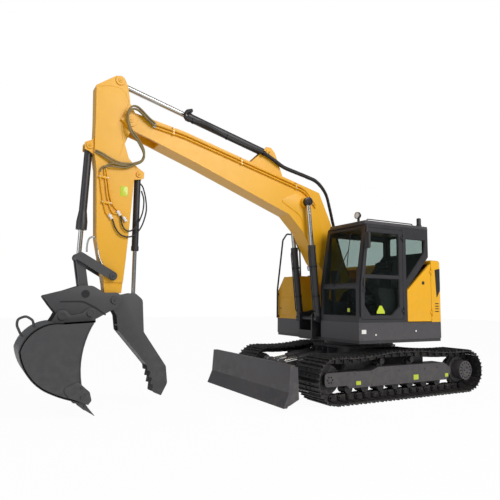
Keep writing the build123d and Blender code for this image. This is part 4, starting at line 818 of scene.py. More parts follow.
for number, (x, z, radius, start, width) in enumerate(BOSSES):
    for side, sign in SIDES:
        turned(f"thumb_boss_{number + 1}_{side}", ((0, 0), (0, radius), (width, radius), (width, 0)),
               (x, DIG + sign * start, z), (0, sign, 0), tool_enamel, "thumb", sides=32)
print("thumb outline points", len(THUMB))

# %% [markdown]
# ## Sheet and plate fittings
# Clamps, feet, doors and blank signs are flat shapes that lie any way round, not only along Y. One maker takes an
# outline in two directions and thickens it. Bolts are hex heads on round washers, turned like the pins, with six
# sides. Bevelled edges matter here, because a sharp edge catches no light.


# %% Flat fittings and bolts
def rounded(width, height, radius, steps=4):
    """Rectangle about the origin whose corners are quarter circles of one radius.

    A corner's point at angle a is its centre + radius (cos a, sin a).
    """
    turn = (np.arange(4)[:, None] + np.linspace(0, 1, steps)[None]) * np.pi / 2
    centre = np.array([(1, 1), (-1, 1), (-1, -1), (1, -1)]) * (width / 2 - radius, height / 2 - radius)
    return (centre[:, None] + radius * np.stack([np.cos(turn), np.sin(turn)], -1)).reshape(-1, 2)


def slab(name, outline, origin, right, up, thick, material, body, bevel=0.0):
    """A flat outline in two directions from an origin, thickened along their cross product, with rounded edges.

    Corner (a, b) lies at origin + a right + b up, and its twin one thickness further on. An outline that runs the
    wrong way for that side is read backwards, so that faces point outwards.
    """
    right, up = unit(right), unit(up)
    outline = np.asarray(outline, float)
    x, y = outline.T
    if (x * np.roll(y, -1) - y * np.roll(x, -1)).sum() * thick < 0:
        outline = outline[::-1]
    near = np.asarray(origin, float) + outline[:, :1] * right + outline[:, 1:] * up
    count = len(outline)
    number = np.arange(count)
    onward = np.roll(number, -1)
    walls = np.stack([number, onward, onward + count, number + count], -1).ravel()
    mesh = faced_mesh(name, np.concatenate([near, near + np.cross(right, up) * thick]),
                      np.concatenate([walls, number[::-1], number + count]), np.repeat((4, count), (count, 2)))
    if bevel:
        round_edges(mesh, bevel)
    return add_piece(name, mesh, material, body, 30)


def bolts(name, spots, toward, size, material, body):
    """Hex heads of one size across the flats on round washers, at each spot."""
    turned(name + "_washers", ((0, 0), (0, size * 0.62), (size * 0.14, size * 0.62), (size * 0.14, 0)), spots, toward,
           material, body, sides=14)
    turned(name, ((size * 0.14, 0), (size * 0.14, size * 0.56), (size * 0.5, size * 0.56), (size * 0.58, size * 0.44),
                  (size * 0.58, 0)), spots, toward, material, body, sides=6)


def ring_spots(centre, radius, count, across=((1, 0, 0), (0, 0, 1)), turn=0.0):
    """Points evenly round a circle in the plane of two directions: centre + radius (first cos a + second sin a)."""
    angle = turn + np.arange(count)[:, None] * 2 * np.pi / count
    return np.asarray(centre, float) + radius * (np.cos(angle) * across[0] + np.sin(angle) * across[1])


print("a rounded plate has", len(rounded(10, 10, 1)), "corner points")

# %% [markdown]
# ## Boom pipes and clamps
# Two steel pipes carry the oil along the boom's left side, painted with it, in three clamps. Each clamp has a bar
# that follows the boom's top edge, so one function gives that edge's height.

# %% Boom pipes and clamps
KNEE_X = 3449


def boom_top(x):
    """Height of the boom's top edge: 3537 at x 807, rising 691 in 2642 up to KNEE_X and 17 in 100 beyond it."""
    return 3537 + (min(x, KNEE_X) - 807) * 691 / 2642 + max(0, x - KNEE_X) * 0.17


for number, drop in enumerate((34, 84)):
    route = np.array([(905, 96, 3330 - drop), (1130, 96, 3597 - drop), (KNEE_X, 96, 4204 - drop),
                      (3960, 96, 4285 - drop)])
    tube(f"boom_pipe_{number + 1}", bent_path(route, 110), 13, yellow_enamel, "boom", sides=16)
for number, x in enumerate((1330.0, 2430.0, 3640.0)):
    top = boom_top(x)
    slab(f"boom_clamp_{number + 1}", ((x - 17, top - 134), (x + 17, top - 126), (x + 17, top - 14), (x - 17, top - 22)),
         (0, 113, 0), FORWARD, UP, 43.5, yellow_enamel, "boom", bevel=4)
    bolts(f"boom_clamp_bolts_{number + 1}", [(x, 113, top - drop) for drop in (70, 118, 28)], LEFT, 15, zinc_steel,
          "boom")
print("boom pipes 2, clamps 3")

# %% [markdown]
# ## Work lamp and doublers
# A moulded lamp hangs under the boom's knee, tilted down at the bucket. Doubler plates are welded over the boom's
# sides where the cylinder's pin passes. They stand 10 mm proud with softened edges, which is all that shows of them.

# %% Work lamp and doublers
LAMP_SPOT = (872, DIG, 2172)
LAMP_OUT, LAMP_UP = unit((0.96, 0, -0.28)), unit((0.28, 0, 0.96))
DOUBLER = eased(((716, 2600, 50), (838, 3330, 120), (1296, 3484, 120), (1660, 3316, 60), (1250, 3098, 250),
                 (930, 2600, 60)), 6)
prisms("boom_lamp_foot", ((765, 2152), (800, 2194), (885, 2194), (885, 2152)), DIG - 14, DIG + 14, dark_steel, "boom",
       bevel=2)
slab("boom_lamp_body", rounded(96, 84, 18), LAMP_SPOT, LEFT, LAMP_UP, 52, moulded_black, "boom", bevel=5)
slab("boom_lamp_lens", rounded(80, 68, 12), np.array(LAMP_SPOT) + LAMP_OUT * 51, LEFT, LAMP_UP, 5, lamp_lens, "boom",
     bevel=1.5)
prisms("boom_doublers", [DOUBLER] * 2, (DIG - 180, DIG + 169.5), (DIG - 169.5, DIG + 180), yellow_enamel, "boom",
       bevel=2)
print("doubler outline points", len(DOUBLER))

# %% [markdown]
# ## Gland collars
# A cylinder's gland is a collar screwed over the barrel's end, where the rod comes out, with eight bolts round its
# face. The bucket cylinder has a flared cover there instead, which keeps stones off the rod. Each is turned about the
# line from the barrel's pin to the rod's pin, so that it fits the cylinder at any tilt.

# %% Gland collars
LIFT_BASE, LIFT_EYE = np.array((919.0, 0, 1266.0)), np.array((1131.0, 0, 3324.0))
LIFT_SIDES = (("left", 1, 175), ("right", -1, -375))
BUCKET_BASE, BUCKET_EYE = np.array((4872.0, DIG, 3791.0)), np.array((4943.0, DIG, 2153.0))
# name, barrel's pin, rod's pin, barrel's radius, distance of the gland's face, body
COLLARS = [(f"lift_{side}", LIFT_BASE + (0, y, 0), LIFT_EYE + (0, y, 0), 60, 1290, "boom_barrels")
           for side, sign, y in LIFT_SIDES] + [
    ("arm", np.array((1841.0, DIG, 4155.0)), np.array((4476.0, DIG, 4849.0)), 68, 1560, "arm_barrel"),
    ("thumb", np.array((4129.0, DIG, 3456.0)), np.array((4135.0, DIG, 1584.0)), 50, 1160, "thumb_barrel")]
for name, base, eye, radius, gland, body in COLLARS:
    run = unit(eye - base)
    turned(f"gland_{name}", ((gland - 66, radius - 1), (gland - 66, radius + 7), (gland - 4, radius + 7),
                             (gland + 1, radius + 3), (gland + 1, radius * 0.66)), base, run, black_enamel, body,
           sides=40)
    first = unit(np.cross(run, LEFT))
    bolts(f"gland_bolts_{name}", ring_spots(base + run * (gland + 1), radius * 0.86, 8, (first, np.array(LEFT))), run,
          12, dark_steel, body)
turned("bucket_cylinder_cover", ((970, 55), (970, 57.5), (1120, 78), (1234, 78), (1240, 73), (1240, 38)), BUCKET_BASE,
       BUCKET_EYE - BUCKET_BASE, black_enamel, "bucket_barrel", sides=40)
print("gland collars", len(COLLARS))

# %% [markdown]
# ## Pin caps
# Every pin ends in a round cap with a grease point. The digging line is the mirror plane, so the right cap's Y is
# worked out from the left one's: twice the line's Y less that.

# %% Pin caps
PIN_CAPS = (
    ("boom", (4311, 70, 4247), 100, 40, yellow_enamel), ("boom", (1841, 2, 4155), 62, 30, yellow_enamel),
    ("arm", (4476, 25, 4849), 72, 34, yellow_enamel), ("arm", (4872, -10, 3791), 52, 26, yellow_enamel),
    ("arm", (4129, -16, 3456), 48, 24, yellow_enamel), ("side_links", (4487, 84.5, 1894), 48, 24, tool_enamel),
    ("arm", (4446, 84.2, 1550), 56, 26, tool_enamel),
)
for number, (body, (x, left_y, z), cap, head, finish) in enumerate(PIN_CAPS):
    for side, sign in SIDES:
        y = left_y if sign > 0 else 2 * DIG - left_y
        turned(f"pin_cap_{number + 1}_{side}",
               ((0, 0), (0, cap), (13, cap), (16, cap - 3), (16, head), (22, head), (26, head - 4), (26, 12), (34, 11),
                (38, 6), (38, 0)), (x, y, z), (0, sign, 0), finish, body, sides=36)
print("pin caps", 2 * len(PIN_CAPS))

# %% [markdown]
# ## Cab fittings outside
# A grab tube follows the front pillar, a round work lamp stands on the roof's front corner and a beacon at its rear.
# The lamp and the beacon are single turned profiles, since nothing on them is square.

# %% Grab tube, lamp and beacon
GRAB = ((878, 1261, 1325), (878, 1261, 1840), (737, 1261, 2790))
ROOF_LAMP = (992, 2995)  # Y and Z of its axis
tube("grab_tube", bent_path(GRAB, 90), 14, black_enamel, "house", sides=16)
turned("grab_stand_offs", ((0, 0), (0, 9), (24, 9), (24, 0)),
       [(878, 1237, 1365), (878, 1237, 1755), (742, 1237, 2757)], LEFT, black_enamel, "house", sides=14)
slab("roof_lamp_foot", rounded(40, 62, 6), (674, 992, 2920), LEFT, UP, 24, black_enamel, "house", bevel=3)
turned("roof_lamp_bowl", ((0, 0), (0, 34), (4, 39), (30, 51), (30, 58), (60, 58), (64, 55), (60, 50), (54, 0)),
       (655, *ROOF_LAMP), FORWARD, moulded_black, "house", sides=40)
turned("roof_lamp_lens", ((0, 0), (0, 50), (4, 48), (10, 30), (12, 0)), (719, *ROOF_LAMP), FORWARD, lamp_lens, "house")
turned("roof_lamp_rim", ((0, 49), (0, 58), (8, 58), (8, 49)), (719, *ROOF_LAMP), FORWARD, zinc_steel, "house")
turned("beacon", ((0, 0), (0, 46), (32, 46), (36, 42), (36, 38), (140, 38), (152, 32), (156, 22), (156, 0)),
       (-580, 1122, 2889.5), UP, moulded_black, "house", sides=32)
print("grab tube corners", len(GRAB))

# %% [markdown]
# ## Housings
# The tank housing has a door at its front with a bent handle, and a filler cap on top. The engine housing's left side
# has four short louvres, each a thin dark strip that is painted shade of its opening, and, further back, a dark vent
# that rounds the tail. The vent's sheet would stand off a curved wall if it were flat, so its columns follow the tail:
# y is the root of the tail's radius squared less x squared.

# %% Housings
TANK_FRONT = 869.7
slab("tank_door", rounded(560, 340, 24), (TANK_FRONT, -845, 1480), LEFT, UP, 8, yellow_enamel, "house", bevel=3)
turned("tank_cap", ((0, 0), (0, 76), (26, 76), (32, 70), (36, 40), (36, 0)), (420, -713, 2039.5), UP, moulded_black,
       "house", sides=36)
tube("tank_handle", bent_path(((870, -1140, 1431), (892, -1140, 1431), (892, -1080, 1431), (870, -1080, 1431)), 10), 6,
     rubber_and_painted_shade, "house", sides=8)
# The louvres are thin dark strips on the wall, painted shade of their openings.
slot_z = np.array((1415, 1460, 1505, 1550), float)
louvres = np.stack([np.stack([np.full(4, x), slot_z + rise], -1)
                    for x, rise in ((-892, -8), (-806, -8), (-806, 8), (-892, 8))], 1)
prisms("louvre_shade_strips_left", louvres, 1236.7, 1238, rubber_and_painted_shade, "house")
TAIL_RADIUS, TAIL_START = 1550.0, -934.0
vent_x = np.linspace(-815, -1080, 24)
vent_y = np.sqrt(TAIL_RADIUS ** 2 - np.minimum(vent_x, TAIL_START) ** 2)
vent_foot = np.interp(vent_x, (-1080, -985, -846, -815), (2020, 1850, 1647, 2120))
vent_head = np.interp(vent_x, (-1080, -985, -815), (2190, 2172, 2136))
vent = np.stack([np.stack([vent_x, vent_y + out, level], -1) for out, level in (
    (2.5, vent_foot), (2.5, vent_head), (-6, vent_head), (-6, vent_foot))], 1)
vent_ends = vent[[0, -1]].mean(1, keepdims=True).repeat(4, 1)
grid_piece("quarter_vent", np.concatenate([vent_ends[:1], vent, vent_ends[1:]])[None], rubber_and_painted_shade, "house")
turned("rear_latch", ((0, 0), (0, 30), (5, 30), (7, 26), (7, 0)), (-522, 1237.4, 1900), LEFT, rubber_and_painted_shade,
       "service_door_left")
print("louvres", len(louvres), "vent columns", len(vent_x))

# %% [markdown]
# ## Hose bundle along the arm cylinder
# Hydraulic hoses are wire-braided rubber, 22 to 32 mm across, and lie where clips and fittings hold them. Three run
# in a bundle from the deck over the boom to the arm cylinder. A cloth or rope simulation could lay them, but held
# hoses keep their place, so a smooth curve through measured points gives the same line every run. A slight ripple
# stands for the wrapped cover's ridges.


# %% Hose bundle
def smooth_path(points, steps=8):
    """Curve through the points: each span is a cubic whose end slopes are half way between the neighbours.

    With a, b, c, d in a row, the span from b to c is
    b + t/2 (c - a + t (2a - 5b + 4c - d + t (3b - a - 3c + d))).
    """
    p = np.asarray(points, float)
    p = np.vstack([2 * p[0] - p[1], p, 2 * p[-1] - p[-2]])
    a, b, c, d = p[:-3, None], p[1:-2, None], p[2:-1, None], p[3:, None]
    t = np.linspace(0, 1, steps, endpoint=False)[None, :, None]
    spans = b + t / 2 * (c - a + t * (2 * a - 5 * b + 4 * c - d + t * (3 * b - a - 3 * c + d)))
    return np.vstack([spans.reshape(-1, 3), p[-2:-1]])


bundle_route = np.array([
    (3300, 0, 4605), (3400, 10, 4560), (3425, 20, 4470), (3310, 36, 4425), (3067, 40, 4395), (2699, 40, 4265),
    (2316, 40, 4165), (1990, 44, 4100), (1760, 44, 4000), (1560, 40, 3905), (1290, 24, 3850), (1040, 6, 3805),
    (800, -10, 3742), (600, -20, 3560), (505, -24, 3300), (430, -24, 3020), (330, -30, 2700), (200, -40, 2330),
    (60, -50, 2060)])
for number, (aside, lift) in enumerate(((0, 0), (34, 6), (16, 34))):
    tube(f"boom_hose_{number + 1}", smooth_path(bundle_route + (0, aside - 8, lift)), 16, hose_rubber, "boom",
         ripple=0.07, pitch=26)
bundle_line = smooth_path(bundle_route)
for number, step in enumerate((24, 40, 56)):
    turned(f"boom_hose_strap_{number + 1}", ((0, 0), (0, 46), (26, 46), (26, 0)), bundle_line[step] + (0, 8, 12),
           bundle_line[step + 1] - bundle_line[step], dark_steel, "boom")
print("bundle of 3 hoses,", round(np.linalg.norm(np.diff(bundle_line, axis=0), axis=1).sum()), "mm long")

# %% [markdown]
# ## Hoses over the boom's tip
# Four hoses cross from the boom's pipes to the arm's in a hanging loop, in a woven nylon sleeve that keeps them from
# chafing. The loop opens and closes as the arm swings, while these pieces ride on no body and keep the shape drawn
# here.

# %% Hoses over the boom's tip
tip_route = np.array([
    (3946, 0, 4254), (4060, 10, 4330), (4215, 16, 4448), (4320, 18, 4440), (4372, 18, 4300), (4326, 18, 4110),
    (4200, 14, 3960), (4108, 4, 3800), (4120, -22, 3665), (4225, -44, 3600)], float)
OVER_TIP = ("boom", "arm", (4010, 96, 4300), (4200, 60, 3650))
for number, (aside, lift, end) in enumerate((
        (100, 0, ((4412, 60, 3575), (4560, 62, 3610), (4700, 58, 3678), (4800, 20, 3722))),
        (100, -46, ((4400, 58, 3540), (4540, 60, 3560), (4690, 62, 3640), (4810, 30, 3690))),
        (130, -6, ((4380, 60, 3560), (4520, 56, 3552), (4620, 48, 3520), (4664, 46, 3450))),
        (130, -50, ((4360, 64, 3510), (4540, 74, 3500), (4690, 60, 3480), (4726, 46, 3400))))):
    shifted = tip_route + (0, aside, lift)
    shifted[-2:, 2] -= lift * 0.5
    tube(f"tip_hose_{number + 1}", smooth_path(np.vstack([shifted, end])), 13, hose_sleeve, OVER_TIP, ripple=0.03)
turned("tip_hose_ferrules", ((0, 0), (0, 17), (44, 17), (50, 14), (50, 0)),
       [(3925, 96, 4246), (3925, 96, 4198)], (0.98, 0, 0.2), zinc_steel, "boom", sides=6)
print("tip hoses 4")

# %% [markdown]
# ## Steel pipes on the arm
# From the loop on, the oil runs in painted steel pipes, held by two clips and ending in pale couplings. A pipe is
# bent on a former, so its runs are straight and its bends share one radius.

# %% Steel pipes on the arm
for number, route in enumerate((
        ((4664, 44, 3460), (4648, 44, 3340), (4611, 44, 3072), (4561, 44, 2885), (4498, 44, 2790), (4430, 44, 2826)),
        ((4726, 44, 3410), (4703, 44, 3209), (4665, 44, 2992), (4614, 44, 2800), (4560, 44, 2752)),
        ((4640, 44, 3470), (4610, 44, 3320), (4571, 44, 3072), (4521, 44, 2925), (4440, 44, 2860), (4352, 44, 2742)))):
    tube(f"arm_pipe_{number + 1}", bent_path(route, 60), 11, yellow_enamel, "arm")
turned("arm_couplings", ((-6, 0), (-6, 17), (10, 21), (14, 26), (34, 26), (36, 21), (62, 21), (64, 26), (76, 26),
                         (80, 15), (80, 0)), [(4570, 48, 2790), (4450, 48, 2850), (4360, 48, 2770)],
       (-0.55, 0.05, -0.83), white_film, "arm", sides=20)
for number, spot in enumerate(((4668, 26, 3330), (4612, 26, 2960))):
    slab(f"arm_pipe_clip_{number + 1}", rounded(150, 34, 8), spot, (1, 0, 0.1), (-0.1, 0, 1), -34, yellow_enamel,
         "arm", bevel=4)
bolts("arm_clip_bolts", [(4728, 60, 3336), (4606, 60, 3324), (4672, 60, 2966), (4550, 60, 2954)], LEFT, 16, zinc_steel,
      "arm")
print("arm pipes 3, clips 2")

# %% [markdown]
# ## Hoses from the couplings
# Two hoses hang from the couplings to the thumb cylinder, and one steel-braided hose arches from the arm to the side
# links for the coupler's latch. The links swing with the bucket, while the last hose rides on no body.

# %% Hoses from the couplings
tube("thumb_hose", smooth_path((
    (4520, 52, 2722), (4470, 54, 2590), (4390, 56, 2500), (4281, 56, 2478), (4180, 50, 2520), (4090, 20, 2630),
    (4024, -20, 2780), (3990, -46, 2940), (4006, -60, 3120), (4046, -70, 3270), (4088, -76, 3330))), 11, hose_rubber,
    "arm", ripple=0.03)
tube("thumb_hose_2", smooth_path((
    (4404, 52, 2786), (4380, 56, 2660), (4330, 58, 2580), (4250, 54, 2570), (4170, 40, 2640), (4100, 0, 2760),
    (4046, -40, 2900), (4030, -64, 3080), (4064, -90, 3220))), 11, hose_rubber, "arm", ripple=0.03)
tube("link_hose", smooth_path((
    (4560, 40, 1960), (4640, 40, 2060), (4690, 26, 2190), (4700, -6, 2330), (4730, -14, 2430), (4785, -16, 2450),
    (4835, -16, 2400), (4850, -18, 2300), (4846, -30, 2230))), 13, zinc_steel,
    ("arm", "side_links", (4640, 40, 2060), (4850, -18, 2300)))
turned("bucket_cylinder_port", ((0, 0), (0, 20), (36, 20), (36, 0)), [(4838, -62, 3724), (4842, -62, 3690)],
       (-0.35, 1, 0), zinc_steel, "arm", sides=6)
print("hoses of thumb and coupler 3")

# %% [markdown]
# ## Weld beads and the lift cylinders' pin
# The arm's side plates are welded round their edge, where a bead with a ripple every 7 mm shows as a fine line. The
# pin that joins both lift cylinders to the boom ends in a cap with three bolts.

# %% Weld beads and the lift pin
seam = np.array([(4800, 4690), (4600, 4737), (4449, 4720), (4370, 4618), (4345, 4512), (4419, 4323), (4432, 4089),
                 (4400, 3900), (4439, 3700)], float)
for side, sign in SIDES:
    tube(f"arm_weld_{side}", smooth_path(np.insert(seam, 1, DIG + sign * 125.5, axis=1)), 3.2, yellow_enamel, "arm",
         sides=8, ripple=0.25, pitch=7)
turned("boom_eye_caps", ((0, 0), (0, 66), (9, 66), (13, 60), (13, 22), (22, 20), (22, 0)), (1131, 217, 3324), LEFT,
       dark_steel, "boom")
bolts("boom_eye_bolts", ring_spots((1131, 230, 3324), 44, 3, turn=0.5), LEFT, 20, dark_steel, "boom")
print("weld points", len(seam))

# %% [markdown]
# ## Rod eyes and barrel pipes
# The eye of each rod is a forged lug, painted and not chromed, so a sleeve covers it. The lift cylinders' barrels
# carry a steel pipe to the gland, with two bands. The pipe's points are given as distance along the barrel and
# distance in front of its axis, so both sides share one list.

# %% Rod eyes and barrel pipes
EYES = (
    ("boom_rods", (1131, -375 - 41.5, 3324), 83, 76.5), ("boom_rods", (1131, 175 - 41.5, 3324), 83, 76.5),
    ("arm_rod", (4476, -151, 4849), 102, 71.5), ("thumb_rod", (4135, -143.5, 1584), 87, 51.5),
    ("bucket_rod", (4943, -159.2, 2153), 118.4, 57.5),
)  # body, low end of the sleeve, width, radius
for number, (body, spot, width, radius) in enumerate(EYES):
    turned(f"rod_eye_{number + 1}", ((0, radius - 14), (0, radius), (width, radius), (width, radius - 14)), spot, LEFT,
           dark_steel, body)
lift_run = unit(LIFT_EYE - LIFT_BASE)
lift_front = np.cross(LEFT, lift_run)
for side, sign, y in LIFT_SIDES:
    foot = LIFT_BASE + (0, y, 0)
    route = [foot + lift_run * along + lift_front * front
             for along, front in ((120, 58), (150, 84), (700, 84), (1180, 84), (1235, 66))]
    tube(f"lift_pipe_{side}", bent_path(route, 24), 9, dark_steel, "boom_barrels")
    for number, along in enumerate((380, 900)):
        turned(f"lift_band_{side}_{number + 1}", ((0, 58), (0, 66), (30, 66), (30, 58)), foot + lift_run * along,
               lift_run, dark_steel, "boom_barrels", sides=32)
print("rod eyes", len(EYES))

# %% [markdown]
# ## Window rubbers
# Each pane sits in a black rubber section that rounds the corners of its opening. A section is a closed tube along
# the pane's outline: the real one has a lip and a groove, which are a few millimetres and don't show.

# %% Window rubbers
SIDE_PANES = {
    "door_upper": (((775, 2000), (690, 2700), (35, 2700), (35, 2000)), 1219, "cab_door"),
    "door_lower": (((790, 1950), (790, 1500), (665, 1345), (210, 1345), (35, 1490), (35, 1950)), 1219, "cab_door"),
    "quarter": (((-130, 2640), (-130, 1930), (-560, 2410), (-590, 2640)), 1219, "house"),
    "right": (((780, 1560), (690, 2700), (-560, 2700), (-560, 2430), (-100, 1930), (-100, 1560)), 274, "house"),
}
for name, (outline, y, body) in SIDE_PANES.items():
    route = np.insert(np.asarray(outline, float), 1, y, axis=1)
    tube(f"rubber_{name}", bent_path(route, 45, closed=True), 9, rubber_and_painted_shade, body, sides=8, closed=True)
FRONT_PANE = ((895, 324, 1861), (751, 324, 2759), (751, 1163, 2759), (895, 1163, 1861))
LOWER_PANE = ((898, 324, 1342), (898, 324, 1778), (898, 1163, 1778), (898, 1163, 1342))
REAR_PANE = ((-644, 344, 2424), (-644, 344, 2756), (-644, 1143, 2756), (-644, 1143, 2424))
for name, route in (("front", FRONT_PANE), ("lower", LOWER_PANE), ("rear", REAR_PANE)):
    tube(f"rubber_{name}", bent_path(route, 40, closed=True), 9, rubber_and_painted_shade, "house", sides=8, closed=True)
print("window rubbers", len(SIDE_PANES) + 3)

# %% [markdown]
# ## Wiper and mirror
# A wiper parks on the leaning windscreen, so its points are counted up the screen and out of it. A mirror stands off
# the grab tube: a moulded housing with rounded corners and a thin silvered plate on the face toward the driver.

# %% Wiper and mirror
SCREEN_FOOT, SCREEN_HEAD = np.array((895, 620, 1861)), np.array((751, 620, 2759))
screen_up = unit(SCREEN_HEAD - SCREEN_FOOT)
screen_out = np.cross(screen_up, RIGHT)
wiper_foot = SCREEN_FOOT + screen_up * -28 + screen_out * 14
wiper_tip = SCREEN_FOOT + (0, 280, 0) + screen_up * 560 + screen_out * 20
wiper_knee = wiper_foot + (wiper_tip - wiper_foot) * 0.5 + screen_out * 14
tube("wiper_arm", smooth_path((wiper_foot, wiper_knee, wiper_tip)), 7, rubber_and_painted_shade, "house", sides=8)
tube("wiper_blade", smooth_path((wiper_tip - screen_up * 290 - screen_out * 8, wiper_tip + screen_out * 2,
                                 wiper_tip + screen_up * 290 - screen_out * 8)), 7, rubber_and_painted_shade, "house", sides=6)
turned("wiper_pivot", ((-14, 0), (-14, 22), (10, 20), (14, 12), (14, 0)), wiper_foot, screen_out, rubber_and_painted_shade, "house")
slab("mirror_housing", rounded(106, 262, 26), (812, 1322, 2545), RIGHT, UP, 40, moulded_black, "house", bevel=8)
slab("mirror_face", rounded(92, 246, 22), (772, 1322, 2545), RIGHT, UP, 3, mirror_glass, "house", bevel=1)
tube("mirror_bracket", bent_path(((776, 1262, 2470), (792, 1290, 2470), (792, 1322, 2500)), 14), 8, dark_steel,
     "house")
print("wiper", round(float(np.linalg.norm(wiper_tip - wiper_foot))), "mm")

# %% [markdown]
# ## Door, roof and shade
# The door has a pull handle and a lock plate, the roof a gutter along its left side and front, a low rail and a sun
# shade over the windscreen. They are the thin lines that make a box read as a cab.

# %% Door, roof and shade
slab("door_handle", rounded(36, 150, 12), (808, 1238, 1880), FORWARD, UP, -16, moulded_black, "cab_door", bevel=4)
slab("door_lock", rounded(52, 60, 10), (806, 1237.5, 1745), FORWARD, UP, -6, rubber_and_painted_shade, "cab_door", bevel=2)
tube("roof_gutter", bent_path(((-650, 1212, 2826), (735, 1212, 2826), (758, 1190, 2826), (758, 300, 2826)), 30), 11,
     black_enamel, "house", sides=8)
slab("sun_shade", rounded(760, 70, 18), (768, 743, 2846), LEFT, (-0.5, 0, 1), -26, black_enamel, "house", bevel=6)
tube("roof_rail", bent_path(((620, 1120, 2889), (620, 1120, 2925), (-420, 1120, 2925), (-420, 1120, 2889)), 26), 9,
     black_enamel, "house", sides=10)
print("door and roof trimmed")

# %% [markdown]
# ## Inside the cab
# Through the tinted glass one sees the travel levers with their pedals, the joysticks' grips, the display and the
# mat. They are simple, because glass and shade hide all but their outlines.

# %% Inside the cab
LEVERS = (("left", 812, 850), ("right", 676, 638))
for name, lever_y, pedal_y in LEVERS:
    tube(f"lever_{name}", bent_path(((690, lever_y, 1290), (668, lever_y, 1560), (640, lever_y, 1780)), 60), 9,
         dark_steel, "house")
    slab(f"pedal_{name}", rounded(80, 170, 12), (700, pedal_y, 1352), LEFT, (1, 0, 0.45), -14, rubber_and_painted_shade, "house",
         bevel=3)
turned("lever_grips", ((0, 0), (0, 15), (12, 19), (90, 17), (108, 12), (112, 0)),
       [(642, lever_y, 1765) for name, lever_y, pedal_y in LEVERS], (-0.12, 0, 1), moulded_black, "house", sides=16)
slab("display", rounded(150, 190, 14), (668, 390, 2000), RIGHT, (0.1, 0, 1), 8, screen_glass, "house", bevel=2)
turned("joystick_grips", ((0, 0), (0, 20), (20, 24), (70, 21), (105, 27), (130, 22), (138, 0)),
       [(350, 413, 1850), (350, 1074, 1850)], (0.1, 0, 1), moulded_black, "house", sides=16)
slab("floor_mat", rounded(560, 760, 30), (560, 743, 1287), FORWARD, LEFT, 6, rubber_and_painted_shade, "house", bevel=1)
print("levers", len(LEVERS), "joysticks 2")

# %% [markdown]
# ## Seat
# Foam pads under woven cloth. A pad could be stuffed by a cloth simulation. A formula takes less time and gives the
# same cushion every run: it starts as a cube whose faces are swollen to the surface where the sixth powers of x, y
# and z add up to one, so that it is full in the middle and pulls in toward its seams. Then its middle is crowned,
# sewn channels are pressed in, and a piping runs round the seam. The cushion stands for the plain seat of the solids.

# %% Pads
POWER, PAD_POINTS = 6, 41
seat_shell = grained("moulded_seat_shell", "#19191B", 0.5, 1.5, 0.2, "#242427")


def swollen(points):
    """Each point q of a cube goes to q / (|x|^p + |y|^p + |z|^p)^(1/p) with p = POWER."""
    return points / (np.abs(points) ** POWER).sum(1, keepdims=True) ** (1 / POWER)


def pad(name, centre, forward, upward, size, channels):
    """A cushion about a centre: half sizes along forward, left and upward, channels as (place along left, depth).

    On the swollen cube z is raised by 14% (1 - x^2)(1 - y^2), x is drawn in by 4% (1 - y^2), and each channel lowers
    z by depth exp(-((y - place) / 0.035)^2) (1 - x^6). A tube follows the seam, where z is zero.
    """
    side = np.linspace(-1, 1, PAD_POINTS)
    u, v = [g.ravel() for g in np.meshgrid(side, side)]
    one = np.ones_like(u)
    q = swollen(np.concatenate([np.stack(f, -1) for f in (
        (one, u, v), (-one, v, u), (v, one, u), (u, -one, v), (u, v, one), (v, u, -one))]))
    x, y, z = q.T
    z = z * (1 + 0.14 * (1 - x ** 2) * (1 - y ** 2))
    for channel, depth in channels:
        z = z - depth * (q[:, 2] > 0.4) * np.exp(-((y - channel) / 0.035) ** 2) * (1 - x ** 6)
    x = x * (1 - 0.04 * (1 - y ** 2))
    axes = np.array([unit(forward), LEFT, unit(upward)])
    points = np.asarray(centre, float) + (np.stack([x, y, z], -1) * size) @ axes
    number = np.arange(6 * PAD_POINTS ** 2).reshape(6, PAD_POINTS, PAD_POINTS)
    quads = np.stack([number[:, :-1, :-1], number[:, :-1, 1:], number[:, 1:, 1:], number[:, 1:, :-1]], -1)
    mesh = faced_mesh(name, points, quads.ravel(), np.full(quads.size // 4, 4))
    shape = bmesh.new()
    shape.from_mesh(mesh)
    bmesh.ops.remove_doubles(shape, verts=shape.verts, dist=1e-6)
    bmesh.ops.recalc_face_normals(shape, faces=shape.faces)
    shape.to_mesh(mesh)
    shape.free()
    piece = add_piece(name, mesh, seat_cloth, "house", 80)
    turn = np.linspace(0, 2 * np.pi, 72, endpoint=False)
    seam_ring = swollen(np.stack([np.cos(turn), np.sin(turn), 0 * turn], -1))
    seam_ring[:, 0] *= 1 - 0.04 * (1 - seam_ring[:, 1] ** 2)
    tube(name + "_piping", np.asarray(centre, float) + (seam_ring * size) @ axes, 5, moulded_black, "house", sides=8,
         closed=True)
    return piece


SEAT_Y = 743.5
cushion = pad("seat_cushion", (300, SEAT_Y, 1612), (1, 0, 0.06), (-0.06, 0, 1), (212, 232, 56),
              ((-0.5, 0.16), (0.5, 0.16)))
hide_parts("seat")
pad("seat_back", (-14, SEAT_Y, 1890), (-0.17, 0, 1), (1, 0, 0.17), (238, 222, 52), ((-0.5, 0.18), (0.5, 0.18)))
pad("seat_headrest", (-78, SEAT_Y, 2205), (-0.17, 0, 1), (1, 0, 0.17), (66, 130, 42), ())
print("pads 3, points each", 6 * PAD_POINTS ** 2)

# %% [markdown]
# ## The seat's shell and foot
# The pads rest in a moulded shell, on a rubber bellows that hides the suspension, on a plinth. Shell and bellows are
# outlines run across the cab, as the tool's plates are. The bellows zigzags by 16 mm every 18 mm of height.

